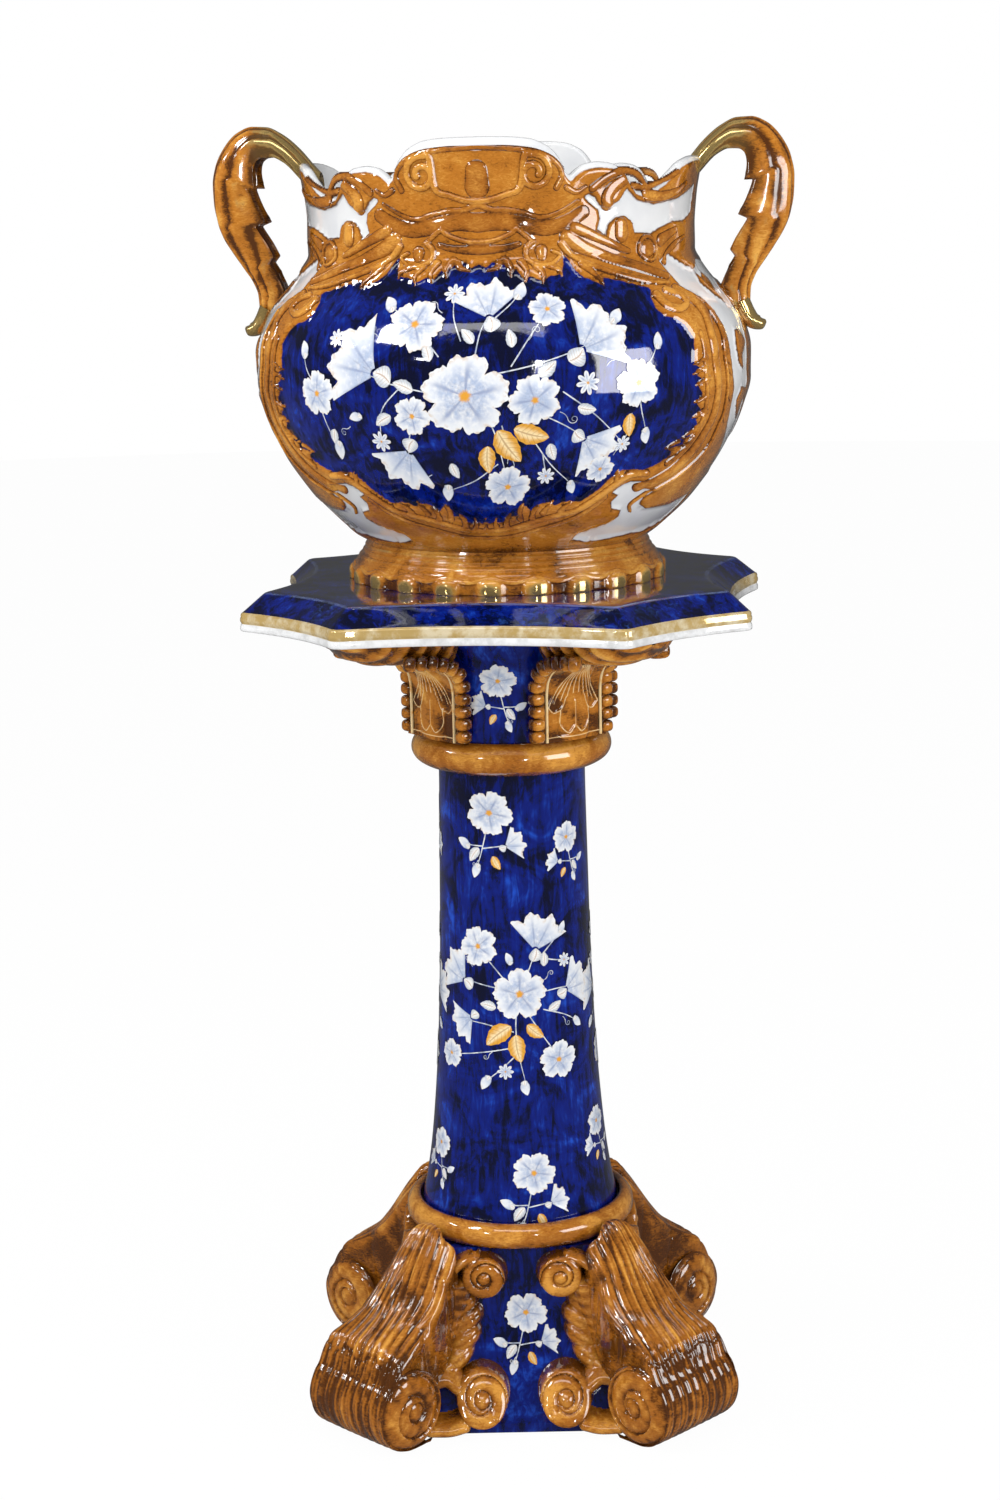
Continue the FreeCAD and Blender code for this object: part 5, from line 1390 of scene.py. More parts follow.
@dataclass
class FootPanel:
    """The moulded volutes and leaf edges that frame one blue panel of the plinth."""

    side: str
    turn: float

    def relief(self, across: np.ndarray, up: np.ndarray) -> tuple:
        """Height over the panel and glaze mark, at places on the panel's right half."""
        lift = np.full(across.shape, -3.0)
        tone = np.full(across.shape, 0.3)

        def lay(height: np.ndarray, mark: np.ndarray) -> None:
            """Keep the higher of two reliefs."""
            nonlocal lift, tone
            tone = np.where(height > lift, mark, tone)
            lift = np.maximum(lift, height)

        # leaf edge of the neighbouring leg: lobes that fold over the panel
        lobes = ((47.5, 104, 11, 9), (44.5, 91, 12, 10), (46.0, 76, 12, 12), (52, 62, 12, 13), (62, 52, 13, 13))
        for centre, level, half, rise in lobes:
            gap = np.hypot((across - centre - 4) / 1.15, (up - level) + 0.35 * (across - centre))
            swell = np.sqrt(np.clip(1 - (gap / half) ** 2, 0, 1))
            ripple = np.abs(np.sin((up - level + 0.6 * (across - centre)) * 0.42))
            lay(np.where(gap < half, rise * swell + 1.0 * ripple * swell, -(gap - half)),
                0.16 + 0.30 * swell + 0.30 * ripple * swell)
        behind = across - (50 + 6 * np.exp(-((up - 60) / 30) ** 2)) + 0.25 * (up - 90)
        wall = np.clip(behind / 6, -2, 1)
        inner = (up > 44) & (up < 122)
        lay(np.where(inner, np.where(wall > 0, 8 + 6 * wall, wall * 3), -3.0), 0.35 + 0.2 * np.cos(up * 0.7))
        for centre, level, radius, rise, pitch, start in ((33, 129, 19.5, 15, 11.5, 110), (36, 32.5, 23.2, 22, 13.5, 130)):
            dx, dy = across - centre, up - level
            distance = np.hypot(dx, dy)
            band = scroll_relief(dx, dy, radius, pitch, -1.0, start)
            wall = np.clip((radius - distance) / 2.4, 0, 1)
            body = rise * np.sqrt(np.clip(1 - (1 - wall) ** 2, 0, 1)) * (0.88 - 0.16 * np.clip(distance / radius, 0, 1))
            lay(np.where(distance < radius, body + 4.2 * band * np.minimum(wall * 1.5, 1), -(distance - radius)),
                -0.08 + 0.80 * band * np.minimum(wall + 0.2, 1))
        # stems that join the volutes to the leg
        for line, half, rise in ((((40, 146), (50, 142), (60, 134)), 5.5, 13), (((50, 120), (56, 112), (60, 104)), 7, 12),
                                 (((56, 40), (66, 46), (78, 44)), 9, 20), (((52, 12), (64, 9), (80, 9)), 8, 20)):
            gap, _ = distance_along(across, up, flowing_line(list(line)))
            swell = np.sqrt(np.clip(1 - (gap / half) ** 2, 0, 1))
            lay(np.where(gap < half, rise * swell, -(gap - half)), 0.2 + 0.55 * swell)
        return lift, tone

    def build(self) -> bpy.types.Object:
        """Make the panel's relief."""
        skin = PanelSkin(self.turn)
        across, up = np.meshgrid(np.linspace(-84, 84, 225), np.linspace(0.3, 151, 200))
        lift, tone = self.relief(np.abs(across), up)
        limit = np.abs(across) > skin.reach(up) - 2
        lift = np.where(limit, -3.0, lift)
        points = skin.place(across, up, np.clip(lift, -1.5, 30))
        faces = grid_faces(200, 225)
        faces = faces[lift.ravel()[faces].max(1) > -0.8]
        used, faces = np.unique(faces, return_inverse=True)
        cloth = Cloth()
        cloth.add(points[used], faces.reshape(-1, 4), relief=tone.ravel()[used])
        return cloth.piece(f"panel_volutes_{self.side}", "stand_foot", "amber_glaze", [AmberGlaze()],
                           (f"panel_scrolls_{self.side}",))


@dataclass
class ScrollLeg:
    """An acanthus leg: ribs that fall from the collar, sweep out, and roll up as a toe with a volute at each end."""

    corner: str
    turn: float

    SPINE = ((101, 158), (103, 165), (108, 169.5), (115, 169.8), (121, 165.5), (127, 158), (134, 149), (142, 137.5),
             (150, 126), (157, 116.5), (164, 108), (172, 101), (182, 94), (192, 86), (199, 74), (203.5, 62), (209, 55),
             (213.6, 45), (215, 35), (213.2, 24), (208, 13.5), (199, 5), (188, 1), (178, 0.2), (160, 0.2))
    HALF = (12, 15, 19, 23, 26.5, 29.5, 32, 34, 35.5, 37, 38.5, 40, 42, 44, 45.5, 46, 46, 46, 46, 46, 46, 46, 46, 46, 46)
    DROP = (9, 11, 13, 15, 17, 18, 18, 17, 16, 14, 12, 10, 8, 5, 3, 1.5, 1, 0.8, 0.5, 0.5, 0.5, 0.4, 0.3, 0, 0)

    def place(self, reach: np.ndarray, side: np.ndarray, up: np.ndarray) -> np.ndarray:
        """Turn the leg's own reach, side and height to places."""
        heading = math.radians(self.turn)
        cos, sin = math.cos(heading), math.sin(heading)
        return np.stack([reach * sin + side * cos, -reach * cos + side * sin, np.maximum(up, 0.15)], -1) * MM

    def build(self) -> bpy.types.Object:
        """Make the leg: fluted ribs over its spine, and plain flanks that run down inside it."""
        cloth = Cloth()
        rows, columns, flank = 190, 125, 5
        knots = np.linspace(0, 1, len(self.SPINE))
        t = np.linspace(0, 1, rows)
        line = flowing_line(list(self.SPINE), 12)
        share = np.linspace(0, 1, len(line))
        spine = np.stack([np.interp(t, share, line[:, k]) for k in (0, 1)], -1)
        half = smooth_curve(knots, np.array(self.HALF, float), t)[:, None]
        drop = smooth_curve(knots, np.array(self.DROP, float), t)[:, None]
        way = np.gradient(spine, axis=0)
        way /= np.hypot(way[:, 0], way[:, 1])[:, None]
        out = np.stack([-way[:, 1], way[:, 0]], -1)
        t = t[:, None]
        v = np.concatenate([np.full(flank, -1.0), np.linspace(-1, 1, columns), np.full(flank, 1.0)])[None]
        deep = np.concatenate([np.linspace(1, 0, flank + 1)[:-1], np.zeros(columns), np.linspace(0, 1, flank + 1)[1:]])
        waver = 0.04 * np.sin(11 * t + 2 * v) + 0.02 * np.sin(31 * t)
        groove = np.abs(np.sin(math.pi * 5.0 * (np.abs(v) + waver)))
        fine = np.abs(np.sin(math.pi * 11.0 * (np.abs(v) + 1.4 * waver)))
        rib = groove ** 0.6
        strong = np.clip(t * 7, 0.25, 1) * (1 - 0.62 * np.clip((t - 0.56) / 0.10, 0, 1))
        lobes = np.abs(np.sin(math.pi * t * 7.0)) ** 0.5 * np.clip((0.56 - t) * 9, 0, 1)
        side = v * (half + 2.2 * lobes * np.abs(v) ** 5 - np.where(t > 0.56, 5.0, 1.5) * deep[None])
        step = np.clip(1 - np.abs(t - 0.575 - 0.012 * np.cos(v * 9)) / 0.008, 0, 1)
        lift = (2.7 * rib + 0.5 * fine - 2.2) * strong - drop * np.abs(v) ** 2.4 - 1.0 * step
        reach = spine[:, :1] + out[:, :1] * lift - 8 * deep[None]
        up = spine[:, 1:] + out[:, 1:] * lift
        up = up - deep[None] * np.clip(up - 20, 0, 60)
        dark = 0.30 * np.clip((t - 0.55) / 0.03, 0, 1) * np.clip((0.84 - t) / 0.2, 0, 1)
        brush = np.sin(29 * v + 6 * np.sin(3.1 * t + 2 * v)) * np.sin(13 * v - 5 * t) + 0.6 * np.sin(67 * v + 9 * t)
        tone = -0.07 + 0.50 * rib * (0.45 + 0.55 * strong) + 0.12 * fine - dark - 0.3 * step + 0.20 * brush
        tone = np.where(deep[None] > 0, 0.15, tone)
        cloth.add(self.place(reach, side, up), grid_faces(rows, v.size)[:, ::-1], relief=tone.ravel())
        for hand in (-1.0, 1.0):
            self.volute(cloth, hand)
        return cloth.piece(f"leg_leaf_{self.corner}", "stand_foot", "amber_glaze", [AmberGlaze()],
                           (f"scroll_leg_{self.corner}",))

    def volute(self, cloth: Cloth, hand: float) -> None:
        """Close one end of the toe with its volute.

        Args:
            cloth: The leg being put together.
            hand: -1 or 1 for the end.
        """
        rings, spokes = 44, 120
        share = np.linspace(0, 1, rings)[:, None]
        heading = np.linspace(0, 2 * math.pi, spokes, endpoint=False)[None]
        across, up = share * 34.8 * np.cos(heading), share * 34.8 * np.sin(heading)
        band = scroll_relief(across, up, 34.0, 17.0, 1.0, 60.0)
        edge = np.clip((1 - share) * 9, 0, 1)
        proud = 44.0 + (4.5 * (1 - share ** 2) + 4.4 * band) * np.sqrt(edge)
        faces = grid_faces(rings, spokes, True)
        tone = -0.10 + 0.66 * band * np.clip(edge, 0.5, 1) + 0.14 * np.sin(across * 0.5) * np.cos(up * 0.4)
        cloth.add(self.place(180.0 + across, hand * proud, 35.2 + up), faces if hand < 0 else faces[:, ::-1],
                  relief=tone.ravel())


# ---------------------------------------------------------------- capital

@dataclass
class Bracket:
    """A bracket of the capital: fanned leaf between two rows of beads, and an arm that rolls out under the slab."""

    corner: str
    turn: float

    def place(self, reach: np.ndarray, side: np.ndarray, up: np.ndarray) -> np.ndarray:
        """Turn the bracket's own reach, side and height over the drum's base to places."""
        heading = math.radians(self.turn)
        cos, sin = math.cos(heading), math.sin(heading)
        return np.stack([reach * sin + side * cos, -reach * cos + side * sin,
                         DRUM_BASE + up + 0 * reach], -1) * MM

    def build(self) -> bpy.types.Object:
        """Make the bracket."""
        cloth = Cloth()
        self.face(cloth)
        for hand in (-1.0, 1.0):
            self.beads(cloth, hand)
        self.arm(cloth)
        return cloth.piece(f"capital_bracket_{self.corner}", "capital", "amber_glaze", [BracketGlaze()],
                           (f"bracket_{self.corner}",))

    def face(self, cloth: Cloth) -> None:
        """Add the leaf panel with its fanned lines."""
        rows, columns = 110, 90
        line = flowing_line([(83.5, 0), (83, 12), (83, 26), (83.5, 40), (86.5, 52), (94, 61.5), (106, 67.5), (124, 71)], 14)
        t = np.linspace(0, 1, rows)
        share = np.linspace(0, 1, len(line))
        reach = np.interp(t, share, line[:, 0])[:, None]
        up = np.interp(t, share, line[:, 1])[:, None]
        v = np.linspace(-1, 1, columns)[None]
        side = v * 36.0 + 0 * reach
        run = up + np.clip(reach - 86, 0, None) * 0.8
        height = np.zeros_like(side)
        bright = np.zeros_like(side)
        fan = [((x * 0.1, 84), (x * 0.50, 62 - abs(x) * 0.30), (x, 42 - abs(x) * 0.45)) for x in
               (-27, -21, -15, -9, -3, 3, 9, 15, 21, 27)]
        fan += [((-27, 30), (-21, 25), (-14, 28), (-10, 38)), ((27, 30), (21, 25), (14, 28), (10, 38)),
                ((-15, 27), (-15, 14), (-7, 7), (-1, 12)), ((15, 27), (15, 14), (7, 7), (1, 12)), ((0, 34), (0, 12)),
                ((-29, 4.5), (0, 4.0), (29, 4.5))]
        for points in fan:
            gap, along = distance_along(side, run + 0 * side, flowing_line(list(points)))
            ridge = np.exp(-(gap / 0.55) ** 2)
            height = np.maximum(height, 1.2 * ridge)
            bright = np.maximum(bright, ridge)
        leaf, _ = distance_along(side, run + 0 * side, flowing_line([(0, 10), (0, 30), (0, 60)]))
        crown = 3.2 * np.sqrt(np.clip(1 - (leaf / 17) ** 2, 0, 1))
        height = np.maximum(height + crown, 0)
        tone = 0.20 + 0.26 * crown / 3.2 + 0.5 * bright + 0.16 * np.sin(run * 0.22 + side * 0.1)
        cloth.add(self.place(reach + height * np.clip(1 - (up - 50) / 20, 0.3, 1), side, up - height * np.clip(
            (up - 50) / 20, 0, 1)), grid_faces(rows, columns), relief=tone.ravel(), line=bright.ravel())

    def beads(self, cloth: Cloth, hand: float) -> None:
        """Add one edge: square cushion beads that lengthen into rope as they curve out, and a thin line inside."""
        line = flowing_line([(80.5, 1), (80.5, 28), (80.8, 50), (86, 61), (97, 68.5), (114, 73.5), (134, 76), (152, 77)], 20)
        run = np.concatenate([[0], np.cumsum(np.hypot(*np.diff(line, axis=0).T))])
        side_line = np.interp(run, (0, 56, 80, run[-1]), (37.2, 37.2, 40.5, 46))
        spot = 0.2
        length = 10.6
        turn = np.linspace(0, 2 * math.pi, 20, endpoint=False)
        rise = np.linspace(-1, 1, 13)
        while spot + length * 0.6 < run[-1]:
            middle = spot + length / 2
            reach, up = np.interp(middle, run, line[:, 0]), np.interp(middle, run, line[:, 1])
            side = np.interp(middle, run, side_line)
            ahead = np.array([np.interp(middle + 1, run, line[:, k]) - np.interp(middle - 1, run, line[:, k])
                              for k in (0, 1)])
            ahead /= np.hypot(*ahead)
            out = np.array([ahead[1], -ahead[0]])
            skew = 0.55 * min(max(middle - 50, 0) / 20, 1)
            along = rise[:, None] * length * 0.52
            round_off = (1 - np.abs(rise[:, None]) ** 3.2) ** (1 / 2.2)
            reach_out = 5.9 + 1.6 * min(max(middle - 54, 0) / 20, 1)
            broad = reach_out * np.sign(np.cos(turn)) * np.abs(np.cos(turn)) ** 0.6 * round_off
            proud = (6.6 * np.sign(np.sin(turn)) * np.abs(np.sin(turn)) ** 0.7) * round_off
            r = reach + ahead[0] * (along + skew * broad * hand) + out[0] * proud
            z = up + ahead[1] * (along + skew * broad * hand) + out[1] * proud
            points = self.place(r, hand * side + broad, z)
            tone = np.broadcast_to(-0.05 + 0.62 * np.clip(proud / 6.6, 0, 1) * round_off, r.shape)
            faces = grid_faces(len(rise), len(turn), True)
            cloth.add(points, faces[:, ::-1], relief=tone.ravel(), line=0.0)
            spot += length
            length = 10.6 + 0.35 * max(middle - 54, 0) ** 0.5
        rim = flowing_line([(84.2, 1), (84.2, 28), (84.6, 44), (88, 56), (96, 64), (108, 70)], 14)
        ring = np.linspace(0, 2 * math.pi, 8, endpoint=False)
        way = np.gradient(rim, axis=0)
        way /= np.hypot(way[:, 0], way[:, 1])[:, None]
        r = rim[:, :1] + way[:, 1:] * 1.3 * np.sin(ring)
        z = rim[:, 1:] - way[:, :1] * 1.3 * np.sin(ring)
        side = hand * (29.2 + 1.3 * np.cos(ring))[None] + 0 * r
        cloth.add(self.place(r, side, z), grid_faces(len(rim), 8, True), relief=1.0, line=0.9)

    def arm(self, cloth: Cloth) -> None:
        """Add the arm: a tongue with a round belly, wound with bands, that ends under the slab's corner."""
        rows, columns = 96, 61
        t = np.linspace(0, 1, rows)[:, None]
        reach = 84 + (185.4 - 84) * t
        half = smooth_curve(np.array([0, 0.2, 0.45, 0.7, 0.86, 0.95, 1.0]), np.array([40, 46, 49, 46, 37, 24, 5.0]), t)
        belly = smooth_curve(np.array([0, 0.16, 0.3, 0.5, 0.65, 0.8, 0.92, 1.0]),
                             np.array([58, 66, 69, 71, 72.5, 77, 84, 93.0]), t)
        turn = np.linspace(0, math.pi, columns)[None]
        v = np.cos(turn)
        bands = np.cos(2 * math.pi * (reach + 9 * np.abs(v)) / 17.0)
        swell = 1.3 * np.sign(bands) * np.abs(bands) ** 0.6
        side = half * v * (1 + 0.02 * swell)
        up = 100.8 - (100.8 - belly + swell) * np.sin(turn) ** 0.75
        tone = 0.24 + 0.34 * bands + 0.10 * np.cos(5 * v * math.pi)
        cloth.add(self.place(reach + 0 * side, side, up), grid_faces(rows, columns), relief=tone.ravel(), line=0.0)


@dataclass(frozen=True)
class BracketGlaze(Finish):
    """Amber glaze with thin cream and gold lines, which a mark named line gives."""

    name: str = "bracket_glaze"

    def paint(self) -> bpy.types.Material:
        """Wire the material."""
        paint = Paint(self.name)
        color = paint.group(Effects.pooled(), Relief=paint.mark("relief"), **AMBER).outputs["Color"]
        worn = paint.step(paint.noise(120, 3, 0.6), 0.25, 0.5)
        line = paint.sum("MULTIPLY", paint.step(paint.mark("line"), 0.45, 0.8), worn)
        color = paint.blend(paint.sum("MULTIPLY", line, 0.85), color, (0.74, 0.58, 0.32))
        return self.glazed(paint, color)


DRUM_SKIN = TurnedSkin(DRUM_BASE, (0, 30, 44, 62, 76, 90, 101), (80, 80, 80, 82.4, 86.4, 94.0, 104))


@dataclass
class Drum:
    """The capital's hollow drum, blue between the brackets."""

    def build(self) -> bpy.types.Object:
        """Make the drum."""
        ups = np.linspace(0.1, 100.9, 60)
        angle = np.arange(240) * 1.5
        angles, up = np.meshgrid(angle, ups)
        outer = DRUM_SKIN.place(angles, up)
        heading = np.radians(angle)
        bore = [np.stack([r * np.sin(heading), -r * np.cos(heading), np.full(240, DRUM_BASE + z)], -1) * MM
                for r, z in ((95, 100.9), (71, 44), (71, 0.1))]
        points = np.vstack([outer, *bore])
        faces = grid_faces(len(ups) + 3, 240, True)
        closing = grid_faces(2, 240, True)
        closing = np.where(closing >= 240, closing - 240, closing + len(points) - 240)
        cloth = Cloth()
        shade = np.concatenate([np.repeat(np.clip((ups - 50) / 30, 0, 1), 240), np.zeros(720)])
        cloth.add(points, np.vstack([faces, closing]), shade=shade)
        return cloth.piece("capital_drum_body", "capital", "cobalt_glaze", [CobaltGlaze()], ("capital_drum",))


# ---------------------------------------------------------------- painted flowers

class Shape(Enum):
    """What a painted motif is."""

    ROSE = "five notched petals, seen from in front"
    STAR = "eight narrow petals"
    CUP = "a cup of petals, seen from the side"
    BUD = "a closed bud"
    LEAF = "a leaf"


@dataclass(frozen=True)
class Motif:
    """One painted motif at a place on its skin, in millimetres from the drawing's centre."""

    shape: Shape
    across: float
    up: float
    size: float
    turn: float = 0.0
    tone: float = 0.5


@dataclass(frozen=True)
class Stem:
    """A painted stem or tendril through points in millimetres from the drawing's centre."""

    line: tuple
    wide: float = 0.9


@dataclass
class Painting:
    """Flowers painted on a skin: thin patches of enamel that follow it."""

    name: str
    skin: object
    centre: tuple
    body: str
    slot: str
    motifs: tuple
    stems: tuple
    seed: int = 3
    lift: float = 0.28

    def build(self) -> bpy.types.Object:
        """Make the painting as one piece."""
        self.random = np.random.default_rng(self.seed)
        cloth = Cloth()
        for stem in self.stems:
            self.stroke(cloth, stem)
        for order, motif in enumerate(self.motifs):
            draw = {Shape.ROSE: self.rose, Shape.STAR: self.star, Shape.CUP: self.cup, Shape.BUD: self.bud,
                    Shape.LEAF: self.leaf}[motif.shape]
            draw(cloth, motif, self.lift * (1.15 + 0.05 * order))
        return cloth.piece(self.name, self.body, self.slot, [Petal(), Leaf(), Line()])

    def lay(self, cloth: Cloth, motif: Motif, x: np.ndarray, y: np.ndarray, lift, faces: np.ndarray, kind: int,
            **marks: np.ndarray) -> None:
        """Turn a motif's own drawing to its place, and add it."""
        heading = math.radians(motif.turn)
        across = motif.across + x * math.cos(heading) - y * math.sin(heading)
        up = motif.up + x * math.sin(heading) + y * math.cos(heading)
        cloth.add(self.skin.patch(self.centre, across, up, lift + 0 * across), faces, kind, **marks)

    def disc(self, cloth: Cloth, motif: Motif, outline, lift: float, petals: float, squash: float = 1.0,
             shift: float = 0.0) -> None:
        """Add a round flower.

        Args:
            cloth: The painting being put together.
            motif: The flower.
            outline: Function that gives the outline's reach, as a share of the size, at headings.
            lift: Height over the skin in millimetres.
            petals: Number of petals.
            squash: Height of the flower as a share of its width.
            shift: How far its heart lies off its middle, as a share of its size.
        """
        rings, spokes = 10, 110
        share = np.linspace(0, 1, rings)[:, None] ** 0.9
        heading = np.linspace(0, 2 * math.pi, spokes, endpoint=False)[None]
        reach = outline(heading) * motif.size / 2
        x = share * reach * np.cos(heading)
        y = share * reach * np.sin(heading) * squash - shift * motif.size * (1 - share)
        rib = np.abs(((heading / (2 * math.pi) * petals) % 1) * 2 - 1) + 0 * share
        self.lay(cloth, motif, x.ravel(), y.ravel(), lift, grid_faces(rings, spokes, True), 0,
                 radial=(share + 0 * heading).ravel(), rib=rib.ravel(), tone=motif.tone)

    def rose(self, cloth: Cloth, motif: Motif, lift: float) -> None:
        """Add an open flower of five broad notched petals."""
        phase = self.random.uniform(0, 6, 4)

        def outline(heading: np.ndarray) -> np.ndarray:
            """Five heart-shaped petals with ruffled edges."""
            lobe = np.abs(np.cos(2.5 * heading))
            notch = 0.07 * np.exp(-((np.abs((heading * 5 / (2 * math.pi)) % 1 - 0.0) * 5) ** 2))
            notch += 0.07 * np.exp(-((np.abs(1 - (heading * 5 / (2 * math.pi)) % 1) * 5) ** 2))
            ruffle = 0.028 * np.sin(17 * heading + phase[0]) + 0.035 * np.sin(7 * heading + phase[1])
            ruffle += 0.022 * np.sin(31 * heading + phase[2])
            return 0.70 + 0.30 * lobe ** 0.55 - notch + ruffle

        self.disc(cloth, motif, outline, lift, 5, 0.93)

    def star(self, cloth: Cloth, motif: Motif, lift: float) -> None:
        """Add a small flower of eight narrow petals."""
        self.disc(cloth, motif, lambda heading: 0.42 + 0.58 * np.abs(np.cos(4 * heading)) ** 0.8, lift, 8)

    def cup(self, cloth: Cloth, motif: Motif, lift: float) -> None:
        """Add a flower seen from the side: a fan of three frilled petals over a green-white cup."""
        rings, spokes = 9, 44
        share = np.linspace(0, 1, rings)[:, None]
        fan = np.linspace(-1, 1, spokes)[None]
        heading = np.pi / 2 + fan * 0.95
        frill = 1 - 0.10 * np.cos(fan * 3 * math.pi) + 0.04 * np.sin(fan * 17) + 0.03 * np.sin(fan * 31 + motif.across)
        reach = motif.size * (0.10 + 0.78 * share * frill)
        x = reach * np.cos(heading)
        y = reach * np.sin(heading) - 0.25 * motif.size
        self.lay(cloth, motif, x.ravel(), y.ravel(), lift, grid_faces(rings, spokes)[:, ::-1], 0,
                 radial=(0.25 + 0.75 * share + 0 * fan).ravel(), rib=np.abs((fan * 1.5 + 0.5) % 1 * 2 - 1 + 0 * share).ravel(),
                 tone=motif.tone)
        self.drop(cloth, motif, 0.17, 0.34, -0.36, lift * 1.1, 1, tone=0.0)

    def bud(self, cloth: Cloth, motif: Motif, lift: float) -> None:
        """Add a bud: a drop with a small cup."""
        self.drop(cloth, motif, 0.30, 1.0, 0.0, lift, 0, tone=motif.tone, radial_low=0.45)
        self.drop(cloth, motif, 0.22, 0.36, -0.36, lift * 1.1, 1, tone=0.0)

    def leaf(self, cloth: Cloth, motif: Motif, lift: float) -> None:
        """Add a leaf with a scalloped edge."""
        self.drop(cloth, motif, 0.31, 1.0, 0.0, lift, 1, tone=motif.tone, scallop=0.10)

    def drop(self, cloth: Cloth, motif: Motif, broad: float, long: float, shift: float, lift: float, kind: int,
             tone: float, scallop: float = 0.0, radial_low: float = 0.0) -> None:
        """Add a pointed oval.

        Args:
            cloth: The painting being put together.
            motif: The motif it belongs to.
            broad: Half width as a share of the motif's size.
            long: Length as a share of the size.
            shift: How far its middle lies over the motif's, as a share of the size.
            lift: Height over the skin.
            kind: 0 for petal enamel, 1 for leaf enamel.
            tone: 0 pale to 1 ochre.
            scallop: How deep its edge is scalloped.
            radial_low: Value of the mark at its lower end.
        """
        rows, columns = 22, 9
        t = np.linspace(0, 1, rows)[:, None]
        v = np.linspace(-1, 1, columns)[None]
        half = np.sin(math.pi * t ** 0.8) ** 0.75 * broad * motif.size
        half = half * (1 - scallop * np.abs(np.sin(t * math.pi * 4.5)))
        x = v * half + 0.05 * motif.size * np.sin(t * 3)
        y = (t - 0.5) * long * motif.size + shift * motif.size + 0 * v
        self.lay(cloth, motif, x.ravel(), y.ravel(), lift, grid_faces(rows, columns), kind,
                 rib=np.abs(v + 0 * t).ravel(), radial=(radial_low + (1 - radial_low) * t + 0 * v).ravel(), tone=tone)

    def stroke(self, cloth: Cloth, stem: Stem) -> None:
        """Add a stem as a thin painted line."""
        line = flowing_line(list(stem.line), 7)
        way = np.gradient(line, axis=0)
        way /= np.maximum(np.hypot(way[:, 0], way[:, 1]), 1e-6)[:, None]
        half = stem.wide * np.interp(np.linspace(0, 1, len(line)), (0, 0.1, 0.7, 1), (0.5, 0.55, 0.45, 0.2))
        sides = np.stack([line + np.stack([way[:, 1], -way[:, 0]], -1) * half[:, None] * s for s in (-1, 0, 1)], 1)
        across, up = sides[..., 0].ravel(), sides[..., 1].ravel()
        cloth.add(self.skin.patch(self.centre, across, up, np.full(len(across), self.lift)),
                  grid_faces(len(line), 3), 2)


def tendril(start: tuple, heading: float, size: float, hand: float = 1.0) -> Stem:
    """A thin tendril that wanders off and curls up.

    Args:
        start: Where it leaves its stem.
        heading: Its direction in degrees.
        size: Its length in millimetres.
        hand: 1 or -1 for the way it curls.

    Returns:
        The stem.
    """
    points = []
    x, y = start
    angle = math.radians(heading)
    for number in range(26):
        t = number / 25
        points.append((x, y))
        x += size / 26 * math.cos(angle)
        y += size / 26 * math.sin(angle)
        angle += hand * (0.10 + 0.75 * t ** 1.6) * (1 if t > 0.25 else -1)
    return Stem(tuple(points), 0.55)


